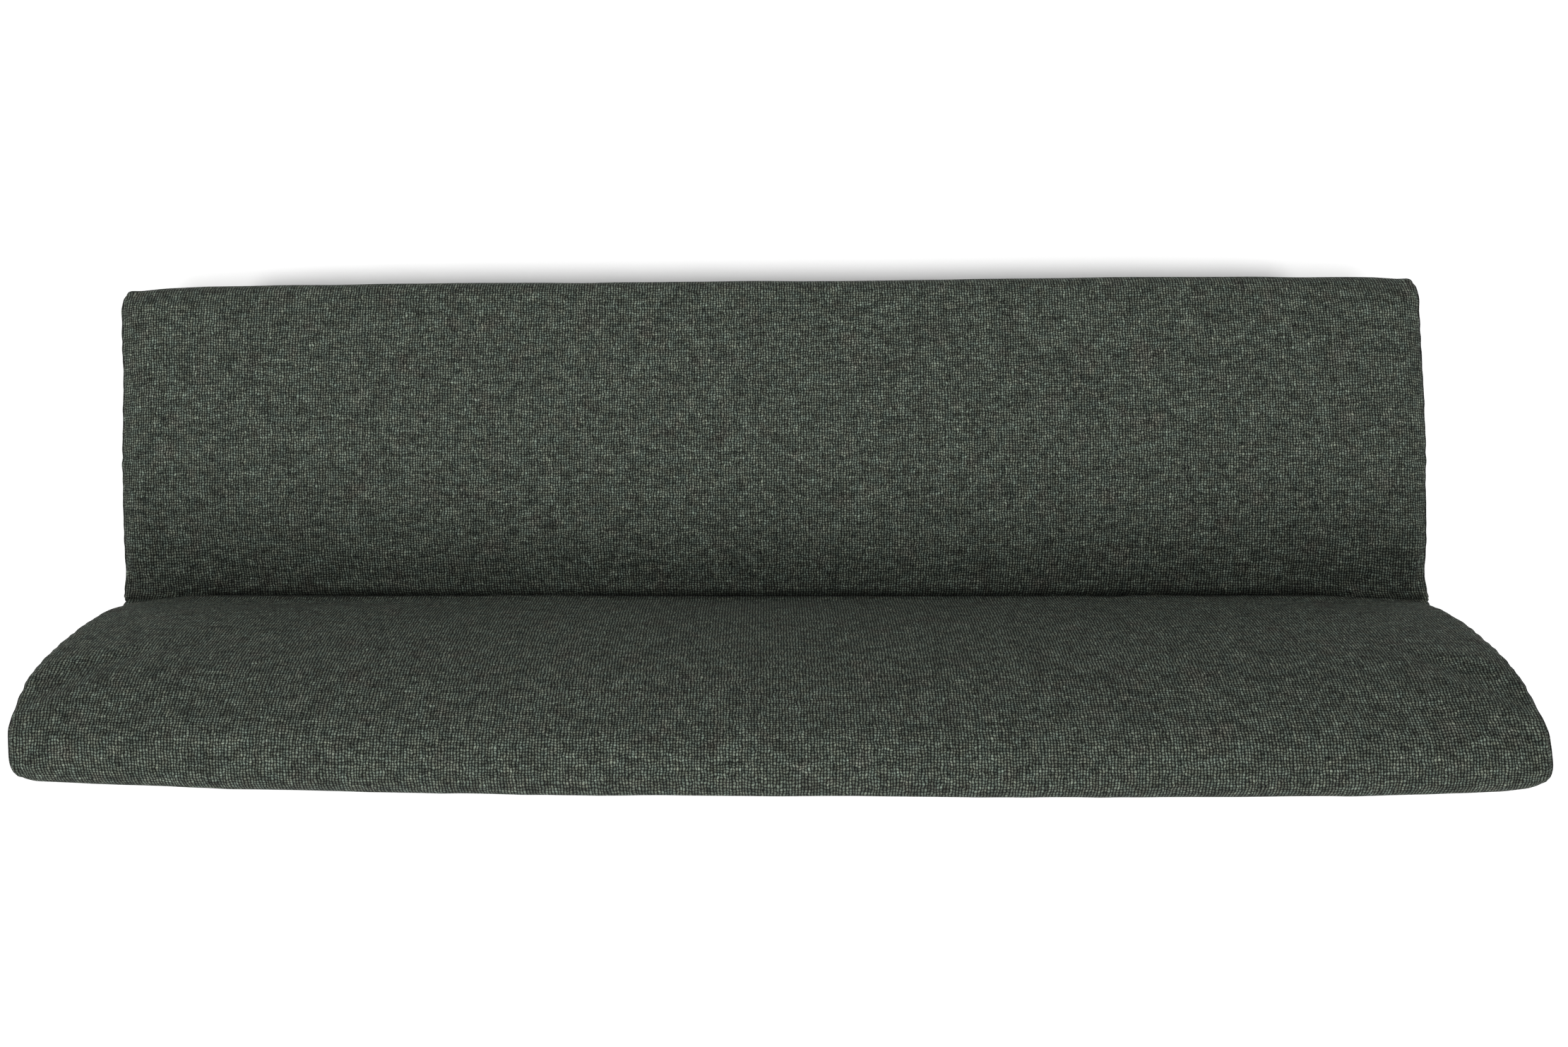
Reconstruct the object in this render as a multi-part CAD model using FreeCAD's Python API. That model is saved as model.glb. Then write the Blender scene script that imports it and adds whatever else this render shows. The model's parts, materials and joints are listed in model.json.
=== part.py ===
"""Upholstered dining banquette: a sprung seat and a padded, leaning back on six turned legs.

Millimetres. +X runs along the bench, +Y towards the back, +Z up. The origin is on the floor,
under the middle of the bench. Across the bench, "u" is the distance behind the joint plane,
where seat and back meet, and "v" the distance up that plane from the crease.
"""

import FreeCAD
import Part
import math
import os

Vector = FreeCAD.Vector
UP = Vector(0, 0, 1)
ALONG = Vector(1, 0, 0)
REARWARD = Vector(0, 1, 0)

# Outside form of the upholstery
overall_width = 1830.0
overall_height = 846.0  # crest of the back, at mid-width
seat_depth = 449.0  # front bow to the crease, at mid-width
seat_edge_height = 460.0  # front edge, at mid-width
base_height = 285.0  # underside of the upholstered box
back_lean = 10.25  # degrees from upright
back_thickness = 132.5  # square to the lean, at the ends
crease_drop = 15.0  # crease below the seat's edge

# Fullness of the padding: how far the form falls off from mid-width to the ends
front_bow = 10.0
seat_end_drop = 13.0
seat_camber = 7.0  # degrees, slope of the crown where it meets the rolled edges
seat_end_camber = 3.0
back_end_drop = 10.0
rear_bow = 13.5
crown_power = 2.4
crown_stations = (0.0, 0.3, 0.55, 0.75, 0.9)  # shares of the straight half-width
end_round = 8.0  # sewn edge round each end panel
end_steps = 3

# Rolled edges
seat_front_radius = 30.0
seat_rear_radius = 16.0
back_sweep_radius = 572.0  # long curve of the back's face
back_roll_radius = 55.0  # front of the top edge
back_heel_radius = 27.0  # rear of the top edge
back_top_flat = 8.0

# Fabric and padding
cover_thickness = 2.0
soft_gap = 0.5  # between a soft piece and its neighbour
insulator_thickness = 4.0
dust_cover_thickness = 1.0
end_padding = 7.0  # foam between an end panel and the frame
front_padding = 7.5  # foam between the front panel and the frame, at the ends
front_foam = 33.0  # foam between the back's cover and its webbing
outside_padding = 8.0  # wadding behind the back board, at the ends

# Seat frame
rail_thickness = 25.0
rail_height = 80.0
cross_rail_drop = 20.0  # top of the cross rails below the rails' top
cross_rail_gap = 50.0  # between the two cross rails
rear_rail_lift = 20.0  # underside of the rear seat rail above the rails' underside
rail_floor_gap = 2.0  # underside of the rails above the underside of the box
rail_overhang = 13.0  # rear end of the side rails in front of the posts' rear face

# Back frame
post_width = 30.0
webbing_rail_thickness = 22.0
lower_rail_height = 54.0
upper_rail_height = 50.0
upper_rail_drop = 52.0  # top of the upper rail below the head of the posts
top_rail_thickness = 25.0
top_rail_cover = 13.5  # top of the top rail below the crest, at the ends
post_shoulder_width = 15.0  # bevel at the head of each post
post_shoulder_height = 45.0
back_board_thickness = 3.0
base_rail_height = 60.0

# Springs and webbing
springs_per_bay = 6
spring_wire = 3.6
spring_pitch = 31.0
spring_bar = 26.0  # straight part of each bar
clip_thickness = 1.2
clip_width = 20.0
clip_play = 0.3
clip_base = 14.0
clip_lip = 5.0
straps_per_bay = 5
strap_width = 50.0
strap_thickness = 2.0
strap_lap = 22.0  # strap held on each rail

# Legs and levelling feet
leg_inset = 116.0  # leg axis from the end of the bench
leg_top_diameter = 46.0
leg_bottom_diameter = 29.0
leg_edge_round = 2.0
leg_block_depth = 55.0
leg_block_height = 48.0
leg_block_width = 70.0
plate_side = 48.0
plate_thickness = 3.0
plate_screw_offset = 17.0
hanger_diameter = 8.0
hanger_length = 56.0
hanger_in_leg = 28.0
foot_travel = 12.0
pad_diameter = 34.0
pad_height = 9.0
pad_edge = 1.0
pad_rim_height = 4.0
pad_neck_diameter = 22.0
pad_floor = 3.0  # thickness under the stud's head
stud_diameter = 8.0
stud_head_diameter = 14.0
stud_head_height = 3.0
stud_engagement = 36.0  # stud above the foot of the leg
stud_hex = 13.0  # across flats
stud_hex_height = 5.0
insert_diameter = 12.0
insert_length = 18.0
fit_gap = 0.3  # between parts of a foot that lie one on another
bore_clearance = 0.1  # on the radius

# Fasteners
bolt_diameter = 8.0
bolt_head_diameter = 18.0
bolt_head_height = 4.5
bolt_clearance = 0.2  # on the radius
bolt_recess = 0.5  # head below the face of the rail
bolt_heights = (15.0, 45.0)  # above the underside of the rails
washer_diameter = 18.0
washer_thickness = 1.6
nut_hex = 13.0  # across flats
nut_height = 6.5
bolt_tail = 2.0  # thread past the nut
screw_diameter = 5.0
screw_head_diameter = 9.5
screw_head_depth = 3.0
screw_length = 60.0
post_screw_length = 50.0
plate_screw_diameter = 4.0
plate_screw_head_diameter = 7.6
plate_screw_head_depth = 2.0
plate_screw_length = 22.0
screw_clearance = 0.05  # on the radius

# Levels and planes that follow from these
lean = math.radians(back_lean)
half_width = overall_width / 2
crease_height = seat_edge_height - crease_drop
back_end_height = overall_height - back_end_drop
rail_bottom = base_height + rail_floor_gap
rail_top = rail_bottom + rail_height
frame_half_width = half_width - cover_thickness - soft_gap - end_padding - soft_gap
spring_height = rail_top + clip_thickness + clip_play + spring_wire / 2
clip_top = spring_height + spring_wire / 2 + clip_play + clip_thickness
insulator_bottom = clip_top + clip_play
foam_bottom = insulator_bottom + insulator_thickness + clip_play
flap_bottom = rail_top + soft_gap * 4  # lower edge of the covers in the crease

webbing_front = cover_thickness + soft_gap + front_foam + soft_gap
rail_front = webbing_front + strap_thickness
post_front = rail_front + webbing_rail_thickness
board_rear = back_thickness - cover_thickness - soft_gap - outside_padding - soft_gap
post_rear = board_rear - back_board_thickness


def crown(x):
    """Fullness of the padding at x: 1 at mid-width, 0 at the ends."""
    return 1 - (abs(x) / half_width) ** crown_power


def crest(x):
    """Height of the back's crest at x."""
    return back_end_height + back_end_drop * crown(x)


def heel_reach(x):
    """How far the centre of the rear top edge lies behind the crease, along Y."""
    u = back_thickness + rear_bow * crown(x) - back_heel_radius
    rise = crest(x) - back_heel_radius - crease_height
    return (u + rise * math.sin(lean)) / math.cos(lean)


overall_depth = seat_depth + heel_reach(0.0) + back_heel_radius
front_face = -overall_depth / 2
crease_y = front_face + seat_depth
frame_front = front_face + front_bow + cover_thickness + soft_gap + front_padding + soft_gap


def slab(u, v):
    """(y, z) of the point u behind the joint plane and v up along it."""
    y = crease_y + u * math.cos(lean) + v * math.sin(lean)
    z = crease_height + v * math.cos(lean) - u * math.sin(lean)
    return y, z


def slab_coordinates(y, z):
    """(u, v) of a point given by its y and z."""
    dy = y - crease_y
    dz = z - crease_height
    u = dy * math.cos(lean) - dz * math.sin(lean)
    v = dy * math.sin(lean) + dz * math.cos(lean)
    return u, v


def slab_at(u, z):
    """(y, z) of the point u behind the joint plane, at height z."""
    v = (z - crease_height + u * math.sin(lean)) / math.cos(lean)
    return slab(u, v)


# The head of the posts: the top rail lies on it, under the padding of the crest
end_crest_v = slab_coordinates(crease_y + heel_reach(half_width), back_end_height)[1]
top_rail_top = end_crest_v - top_rail_cover
post_head = top_rail_top - top_rail_thickness
top_rail_front = post_front + post_shoulder_width

# Where the legs stand
leg_x = half_width - leg_inset
block_bottom = rail_bottom + plate_thickness
base_rail_front = post_rear - webbing_rail_thickness
front_block_front = frame_front + rail_thickness
rear_block_rear = slab_at(base_rail_front, block_bottom)[0]
leg_columns = {"left": -leg_x, "middle": 0.0, "right": leg_x}
leg_rows = {
    "front": front_block_front + leg_block_depth / 2,
    "rear": rear_block_rear - leg_block_depth / 2,
}
leg_places = {
    f"{row}_{column}": (x, y)
    for row, y in leg_rows.items()
    for column, x in leg_columns.items()
}
stud_hex_bottom = pad_height + fit_gap
leg_bottom = stud_hex_bottom + stud_hex_height + fit_gap
leg_top = rail_bottom

# Where the posts and cross rails stand: inner and outer face, from mid-width
cross_rail_inner = cross_rail_gap / 2
cross_rail_outer = cross_rail_inner + rail_thickness
side_rail_inner = frame_half_width - rail_thickness
mid_post_outer = cross_rail_outer + post_width
end_post_inner = side_rail_inner - post_width


# Plain shapes


def block(x0, x1, y0, y1, z0, z1):
    """Box between two corners, given in any order of x."""
    low = min(x0, x1)
    return Part.makeBox(abs(x1 - x0), y1 - y0, z1 - z0, Vector(low, y0, z0))


def prism(points, x0, x1):
    """Bar along X with the (y, z) outline given."""
    corners = [Vector(x0, y, z) for y, z in points]
    face = Part.Face(Part.makePolygon(corners + corners[:1]))
    return face.extrude(ALONG * (x1 - x0))


def turned(points, x, y):
    """Solid turned about the upright axis at (x, y) from its (radius, z) outline."""
    corners = [Vector(r, 0, z) for r, z in points]
    face = Part.Face(Part.makePolygon(corners + corners[:1]))
    solid = face.revolve(Vector(), UP, 360)
    return solid.translated(Vector(x, y, 0))


def hexagon(across_flats, height, place, direction):
    """Hexagonal bar of that height, from place along direction."""
    radius = across_flats / math.sqrt(3)
    turns = [math.radians(60 * k) for k in range(6)]
    corners = [Vector(radius * math.cos(t), radius * math.sin(t), 0) for t in turns]
    bar = Part.Face(Part.makePolygon(corners + corners[:1])).extrude(UP * height)
    bar.Placement = FreeCAD.Placement(place, FreeCAD.Rotation(UP, direction))
    return bar


def countersunk(diameter, head_diameter, head_depth, length, place, direction, grow=0.0):
    """Countersunk screw with its head flush at place; grow widens it into its own hole."""
    head = Part.makeCone(
        head_diameter / 2 + grow, diameter / 2 + grow, head_depth, place, direction
    )
    shank = Part.makeCylinder(diameter / 2 + grow, length + grow, place, direction)
    return head.fuse(shank).removeSplitter()


def cut_all(shape, tools):
    """The shape with each tool that reaches it cut away."""
    reached = [t for t in tools if t.BoundBox.intersect(shape.BoundBox)]
    return shape.cut(reached).removeSplitter() if reached else shape


class Outline:
    """Closed outline across the bench at x, drawn as lines and arcs through (y, z) points."""

    def __init__(self, x, start):
        self.x = x
        self.start = self.here = self.point(start)
        self.edges = []

    def point(self, place):
        return Vector(self.x, *place)

    def line(self, end):
        end = self.point(end)
        self.edges.append(Part.LineSegment(self.here, end).toShape())
        self.here = end

    def arc(self, centre, radius, turn_from, turn_to):
        """Arc about centre; turns are in radians from the forward end of Y, up and over."""
        points = [
            (centre[0] - radius * math.cos(t), centre[1] + radius * math.sin(t))
            for t in ((turn_from + turn_to) / 2, turn_to)
        ]
        middle, end = (self.point(p) for p in points)
        self.edges.append(Part.Arc(self.here, middle, end).toShape())
        self.here = end

    def close(self):
        self.edges.append(Part.LineSegment(self.here, self.start).toShape())
        return Part.Wire(self.edges)


# Upholstered forms


def stations(inset):
    """Places of the cross-sections along X, each with how far the rounded end draws it in."""
    radius = end_round - inset
    straight = half_width - end_round
    places = [(share * straight, 0.0) for share in crown_stations]
    for step in range(end_steps + 1):
        turn = math.pi / 2 * step / end_steps
        places.append((straight + radius * math.sin(turn), radius * (1 - math.cos(turn))))
    return [(-x, drawn) for x, drawn in reversed(places[1:])] + places


def seat_outline(x, inset, bottom):
    """Seat at x, drawn in by inset: upright front, rolled edges, crowned top, leaning rear."""
    fullness = crown(x)
    front = front_face + front_bow * (1 - fullness)
    edge = seat_edge_height - seat_end_drop * (1 - fullness)
    camber = math.radians(seat_end_camber + (seat_camber - seat_end_camber) * fullness)
    front_centre = (
        front + seat_front_radius,
        edge - seat_front_radius * math.cos(camber),
    )
    rear_centre = slab_at(-seat_rear_radius, edge - seat_rear_radius * math.cos(camber))
    chord_front = front_centre[0] - seat_front_radius * math.sin(camber)
    chord_rear = rear_centre[0] + seat_rear_radius * math.sin(camber)
    crown_radius = (chord_rear - chord_front) / 2 / math.sin(camber)
    crown_centre = (
        (chord_front + chord_rear) / 2,
        edge - crown_radius * math.cos(camber),
    )
    upright = math.pi / 2
    outline = Outline(x, (front + inset, bottom))
    outline.line((front + inset, front_centre[1]))
    outline.arc(front_centre, seat_front_radius - inset, 0, upright - camber)
    outline.arc(crown_centre, crown_radius - inset, upright - camber, upright + camber)
    outline.arc(rear_centre, seat_rear_radius - inset, upright + camber, math.pi + lean)
    outline.line(slab_at(-inset, bottom))
    return outline.close()


def back_outline(x, inset, bottom):
    """Back at x, drawn in by inset: leaning face, long sweep, rolled top, leaning rear."""
    top = crest(x)
    heel = (crease_y + heel_reach(x), top - back_heel_radius)
    roll = (heel[0] - back_top_flat, top - back_roll_radius)
    roll_u, roll_v = slab_coordinates(*roll)
    across = back_sweep_radius - roll_u
    along = math.sqrt((back_sweep_radius - back_roll_radius) ** 2 - across**2)
    sweep = slab(back_sweep_radius, roll_v - along)
    lean_turn = lean
    sweep_turn = lean + math.atan2(along, across)
    upright = math.pi / 2
    outline = Outline(x, slab_at(inset, bottom))
    outline.line(slab(inset, roll_v - along))
    outline.arc(sweep, back_sweep_radius - inset, lean_turn, sweep_turn)
    outline.arc(roll, back_roll_radius - inset, sweep_turn, upright)
    outline.line((heel[0], top - inset))
    outline.arc(heel, back_heel_radius - inset, upright, math.pi + lean)
    rear_u = slab_coordinates(*heel)[0] + back_heel_radius - inset
    outline.line(slab_at(rear_u, bottom))
    return outline.close()


def form(outline, inset, bottom):
    """Solid through the outline at every station, drawn in by inset."""
    wires = [outline(x, inset + drawn, bottom) for x, drawn in stations(inset)]
    return Part.makeLoft(wires, True, True)


def skin(outline):
    """Fabric cover of a form, open underneath."""
    outer = form(outline, 0.0, base_height)
    inner = form(outline, cover_thickness, base_height - cover_thickness)
    return outer.cut(inner)


def frame_space(points, margin=soft_gap):
    """Room for the frame inside a form, as a bar over the frame's width."""
    reach = frame_half_width + margin
    return prism(points, -reach, reach)


# Soft parts


def seat_cover():
    """Top, front and end panels, with the flap that goes down into the crease."""
    rear_reach = slab_at(post_front, flap_bottom)[0]
    low_front = slab_at(-cover_thickness - soft_gap, base_height)[0]
    high_front = slab_at(-cover_thickness - soft_gap, flap_bottom)[0]
    below_flap = frame_space(
        [
            (low_front, base_height - cover_thickness),
            (rear_reach, base_height - cover_thickness),
            (rear_reach, flap_bottom),
            (high_front, flap_bottom),
        ],
        end_padding,
    )
    return skin(seat_outline).cut(below_flap)


def seat_foam():
    """Foam slab on the springs, wrapped down over the front and the ends of the frame."""
    foam = form(seat_outline, cover_thickness + soft_gap, rail_bottom)
    front = frame_front - soft_gap
    return foam.cut(
        frame_space(
            [
                (front, base_height),
                (crease_y + seat_depth, base_height),
                (crease_y + seat_depth, foam_bottom),
                (front, foam_bottom),
            ]
        )
    )


def insulator_pad():
    """Felt sheet between the springs and the foam."""
    rear = slab_at(-cover_thickness - 2 * soft_gap, insulator_bottom)[0]
    reach = frame_half_width
    top = insulator_bottom + insulator_thickness
    return block(-reach, reach, frame_front, rear, insulator_bottom, top)


def back_foam():
    """Foam on the face of the back, over its top and round its ends."""
    foam = form(back_outline, cover_thickness + soft_gap, rail_bottom)
    face = webbing_front - soft_gap
    head = post_head - post_shoulder_height
    beyond = 2 * back_thickness
    frame = frame_space(
        [
            slab_at(face, base_height),
            slab(face, head),
            slab(top_rail_front - soft_gap, post_head),
            slab(top_rail_front - soft_gap, top_rail_top + soft_gap),
            slab(beyond, top_rail_top + soft_gap),
            slab_at(beyond, base_height),
        ]
    )
    rear_reach = slab_at(webbing_front, foam_bottom)[0]
    low_front = slab_at(0.0, base_height)[0]
    rails = frame_space(
        [
            (low_front, base_height),
            (rear_reach, base_height),
            (rear_reach, foam_bottom),
            (low_front, foam_bottom),
        ]
    )
    return foam.cut([frame, rails])


def outside_region(front, reach, top):
    """Slice of the back behind the plane u = front, up to v = top."""
    beyond = 2 * back_thickness
    bottom = base_height - cover_thickness
    return prism(
        [
            slab_at(front, bottom),
            slab(front, top),
            slab(beyond, top),
            slab_at(beyond, bottom),
        ],
        -reach,
        reach,
    )


def outside_padding_pad():
    """Wadding between the back board and the outside panel."""
    wadding = form(back_outline, cover_thickness + soft_gap, rail_bottom)
    region = outside_region(board_rear + soft_gap, frame_half_width, post_head)
    return wadding.common(region)


def back_covers():
    """The back's fabric: face, top and ends in one, and the outside panel sewn in behind."""
    cover = skin(back_outline)
    reach = half_width - end_round - cover_thickness
    region = outside_region(board_rear, reach, post_head)
    panel = cover.common(region)
    low_front = slab_at(-cover_thickness, base_height)[0]
    low_rear = slab_at(cover_thickness + soft_gap, base_height)[0]
    high_rear = slab_at(cover_thickness + soft_gap, flap_bottom)[0]
    below_flap = frame_space(
        [
            (low_front, base_height - cover_thickness),
            (low_rear, base_height - cover_thickness),
            (high_rear, flap_bottom),
            (low_front, flap_bottom),
        ],
        end_padding,
    )
    return cover.cut([region, below_flap]), panel


def dust_cover():
    """Cloth under the frame, with a hole round each leg."""
    top = rail_bottom - soft_gap
    bottom = top - dust_cover_thickness
    rear = slab_at(board_rear, bottom)[0]
    reach = frame_half_width
    sheet = block(-reach, reach, frame_front, rear, bottom, top)
    radius = leg_top_diameter / 2 + 2 * dust_cover_thickness
    holes = [
        Part.makeCylinder(radius, 3 * dust_cover_thickness, Vector(x, y, bottom - soft_gap))
        for x, y in leg_places.values()
    ]
    return sheet.cut(holes)


# Fasteners: each screw or bolt is a place and a direction, and its hole follows from it


def frame_screw_places():
    """(place, direction, length) of the screws that hold the frame together."""
    places = []
    inset = rail_thickness / 2
    for side in (-1, 1):
        for height in bolt_heights:
            for x in (frame_half_width - inset, cross_rail_outer - inset):
                place = Vector(side * x, frame_front, rail_bottom + height)
                places.append((place, REARWARD, screw_length))
        rail_y, rail_z = slab_at(
            -cover_thickness - soft_gap - inset,
            rail_bottom + (rear_rail_lift + rail_height) / 2,
        )
        place = Vector(side * frame_half_width, rail_y, rail_z)
        places.append((place, ALONG * -side, screw_length))
        for x in (mid_post_outer - post_width / 2, end_post_inner + post_width / 2):
            down = Vector(0, -math.sin(lean), -math.cos(lean))
            back = Vector(0, math.cos(lean), -math.sin(lean))
            head = slab((top_rail_front + post_rear) / 2, top_rail_top)
            lower = slab(rail_front, lower_rail_span()[1] - lower_rail_height / 2)
            upper = slab(rail_front, upper_rail_span()[1] - upper_rail_height / 2)
            places.append((Vector(side * x, *head), down, screw_length))
            places.append((Vector(side * x, *lower), back, post_screw_length))
            places.append((Vector(side * x, *upper), back, post_screw_length))
    return places


def frame_screws(grow=0.0):
    """Countersunk wood screws of the frame, or their holes."""
    return [
        countersunk(
            screw_diameter, screw_head_diameter, screw_head_depth, length, place, direction, grow
        )
        for place, direction, length in frame_screw_places()
    ]


def post_bolt_places():
    """(head face of the rail, nut face of the post, y, z) of each bolt through a post."""
    middle = (post_front + base_rail_front) / 2
    places = []
    for height in bolt_heights:
        y, z = slab_at(middle, rail_bottom + height)
        for side in (-1, 1):
            places.append((side * frame_half_width, side * end_post_inner, y, z))
            places.append((side * cross_rail_inner, side * mid_post_outer, y, z))
    return places


def post_bolts():
    """Bolts, washers, nuts and the holes that the bolts need."""
    bolts, washers, nuts, holes = [], [], [], []
    for head_x, nut_x, y, z in post_bolt_places():
        inward = ALONG * math.copysign(1, nut_x - head_x)
        seat = Vector(head_x, y, z) + inward * (bolt_head_height + bolt_recess)
        face = Vector(nut_x, y, z)
        length = (face - seat).Length + washer_thickness + nut_height + bolt_tail
        head = Part.makeCylinder(bolt_head_diameter / 2, bolt_head_height, seat, inward * -1)
        shank = Part.makeCylinder(bolt_diameter / 2, length, seat, inward)
        bolts.append(head.fuse(shank).removeSplitter())
        bore = bolt_diameter / 2 + bolt_clearance
        washer = Part.makeCylinder(washer_diameter / 2, washer_thickness, face, inward)
        opening = Part.makeCylinder(bore, length, seat, inward)
        washers.append(washer.cut(opening))
        nut = hexagon(nut_hex, nut_height, face + inward * washer_thickness, inward)
        nuts.append(nut.cut(opening))
        recess_depth = bolt_head_height + bolt_recess
        recess = Part.makeCylinder(
            bolt_head_diameter / 2 + bolt_recess, recess_depth, seat, inward * -1
        )
        holes.append(recess.fuse(opening))
    return bolts, washers, nuts, holes


def plate_screws(grow=0.0):
    """Countersunk screws that hold the leg plates, or their holes."""
    offsets = (-plate_screw_offset, plate_screw_offset)
    return [
        countersunk(
            plate_screw_diameter,
            plate_screw_head_diameter,
            plate_screw_head_depth,
            plate_screw_length,
            Vector(x + dx, y + dy, rail_bottom),
            UP,
            grow,
        )
        for x, y in leg_places.values()
        for dx in offsets
        for dy in offsets
    ]


def hanger_bolts(grow=0.0):
    """Stud between each leg and its plate, or the hole that it needs."""
    start = leg_top - hanger_in_leg - grow
    return [
        Part.makeCylinder(
            hanger_diameter / 2 + grow, hanger_length + 2 * grow, Vector(x, y, start)
        )
        for x, y in leg_places.values()
    ]


# Seat frame


def rear_seat_rail_outline(margin=0.0):
    """Rear seat rail across the bench, with its faces parallel to the joint plane."""
    rear = -cover_thickness - soft_gap
    front = rear - rail_thickness
    low = rail_bottom + rear_rail_lift
    return [
        slab_at(front - margin, low),
        slab_at(rear + margin, low),
        slab_at(rear + margin, rail_top),
        slab_at(front - margin, rail_top),
    ]


def side_rail_rear():
    """Y of the rear end of the side and cross rails."""
    return slab_at(post_rear, rail_bottom)[0] - rail_overhang


def seat_frame(holes):
    """Front rail, two side rails, two cross rails and the rear seat rail, drilled."""
    front_rear = frame_front + rail_thickness
    reach = frame_half_width
    rear = side_rail_rear()
    parts = {
        "front_rail": block(-reach, reach, frame_front, front_rear, rail_bottom, rail_top),
        "rear_seat_rail": prism(
            rear_seat_rail_outline(), -side_rail_inner, side_rail_inner
        ),
    }
    notch = prism(rear_seat_rail_outline(), -cross_rail_outer, cross_rail_outer)
    cross_top = rail_top - cross_rail_drop
    for side, name in ((-1, "left"), (1, "right")):
        parts[f"side_rail_{name}"] = block(
            side * side_rail_inner, side * reach, front_rear, rear, rail_bottom, rail_top
        )
        cross = block(
            side * cross_rail_inner,
            side * cross_rail_outer,
            front_rear,
            rear,
            rail_bottom,
            cross_top,
        )
        parts[f"cross_rail_{name}"] = cross.cut(notch)
    return {name: cut_all(shape, holes) for name, shape in parts.items()}


def leg_blocks(holes):
    """Hardwood blocks that the leg plates are screwed to."""
    top = block_bottom + leg_block_height
    rear = [
        (rear_block_rear - leg_block_depth, block_bottom),
        slab_at(base_rail_front, block_bottom),
        slab_at(base_rail_front, top),
        (rear_block_rear - leg_block_depth, top),
    ]
    front = [
        (front_block_front, block_bottom),
        (front_block_front + leg_block_depth, block_bottom),
        (front_block_front + leg_block_depth, top),
        (front_block_front, top),
    ]
    inner = leg_x - leg_block_width / 2
    outer = leg_x + leg_block_width / 2
    blocks = []
    for side in (-1, 1):
        blocks.append(prism(front, side * inner, side * side_rail_inner))
        blocks.append(prism(rear, side * inner, side * outer))
    for outline in (front, rear):
        blocks.append(prism(outline, -cross_rail_inner, cross_rail_inner))
    return [cut_all(piece, holes) for piece in blocks]


# Back frame


def lower_rail_span():
    """(lowest, highest) v of the lower webbing rail, which clears the side rails."""
    low = (flap_bottom + soft_gap - crease_height + post_front * math.sin(lean)) / math.cos(lean)
    return low, low + lower_rail_height


def upper_rail_span():
    """(lowest, highest) v of the upper webbing rail."""
    high = post_head - upper_rail_drop
    return high - upper_rail_height, high


def slab_bar(u0, u1, v0, v1, x0, x1):
    """Bar along X that is square to the lean of the back."""
    return prism([slab(u0, v0), slab(u1, v0), slab(u1, v1), slab(u0, v1)], x0, x1)


def back_posts(holes):
    """Four uprights, bolted to the side and cross rails and bevelled at the head."""
    outline = [
        slab_at(post_front, rail_bottom),
        slab(post_front, post_head - post_shoulder_height),
        slab(top_rail_front, post_head),
        slab(post_rear, post_head),
        slab_at(post_rear, rail_bottom),
    ]
    posts = {}
    for side, name in ((-1, "left"), (1, "right")):
        places = {
            f"back_post_{name}": (end_post_inner, side_rail_inner),
            f"back_post_mid_{name}": (cross_rail_outer, mid_post_outer),
        }
        for node, (inner, outer) in places.items():
            posts[node] = cut_all(prism(outline, side * inner, side * outer), holes)
    return posts


def back_rails(holes):
    """Rails across the posts: two for the webbing, one on the head, and a pair at the foot."""
    reach = side_rail_inner
    foot = [
        slab_at(base_rail_front, rail_bottom),
        slab_at(post_rear, rail_bottom),
        slab_at(post_rear, rail_bottom + base_rail_height),
        slab_at(base_rail_front, rail_bottom + base_rail_height),
    ]
    rails = {
        "back_lower_rail": slab_bar(rail_front, post_front, *lower_rail_span(), -reach, reach),
        "back_upper_rail": slab_bar(rail_front, post_front, *upper_rail_span(), -reach, reach),
        "back_top_rail": slab_bar(
            top_rail_front, post_rear, post_head, top_rail_top, -reach, reach
        ),
    }
    drilled = {name: cut_all(shape, holes) for name, shape in rails.items()}
    drilled["rear_base_rails"] = [
        prism(foot, side * mid_post_outer, side * end_post_inner) for side in (-1, 1)
    ]
    return drilled


def back_board():
    """Hardboard panel on the rear of the posts."""
    outline = [
        slab_at(post_rear, rail_bottom),
        slab(post_rear, post_head),
        slab(board_rear, post_head),
        slab_at(board_rear, rail_bottom),
    ]
    return prism(outline, -side_rail_inner, side_rail_inner)


# Springs and webbing


def spring_centres():
    """X of each spring, evenly spaced between the cross rails and the side rails."""
    step = (side_rail_inner - cross_rail_outer) / springs_per_bay
    offsets = [cross_rail_outer + step * (k + 0.5) for k in range(springs_per_bay)]
    return [side * x for side in (-1, 1) for x in offsets]


def spring_span():
    """Y of the first and last bar of each spring, over the middle of the two rails."""
    rear = -cover_thickness - soft_gap - rail_thickness / 2
    return frame_front + rail_thickness / 2, slab_at(rear, rail_top)[0]


def seat_springs():
    """Zigzag spring wires, each one unbroken bend from the front rail to the rear."""
    first, last = spring_span()
    turns = 2 * round((last - first) / spring_pitch / 2)
    step = (last - first) / turns
    print("spring bars", turns + 1, "gap between bars", round(step - spring_wire, 2))
    edges = []
    for k in range(turns + 1):
        y = first + k * step
        side = 1 if k % 2 else -1
        start = Vector(side * spring_bar / 2, y, spring_height)
        end = Vector(-side * spring_bar / 2, y, spring_height)
        edges.append(Part.LineSegment(start, end).toShape())
        if k < turns:
            peak = end + Vector(-side * step / 2, step / 2, 0)
            following = end + Vector(0, step, 0)
            edges.append(Part.Arc(end, peak, following).toShape())
    path = Part.Wire(edges)
    start = Vector(-spring_bar / 2, first, spring_height)
    section = Part.Wire(Part.makeCircle(spring_wire / 2, start, ALONG))
    wire = path.makePipeShell([section], True, False)
    return [wire.translated(ALONG * x) for x in spring_centres()]


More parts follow.
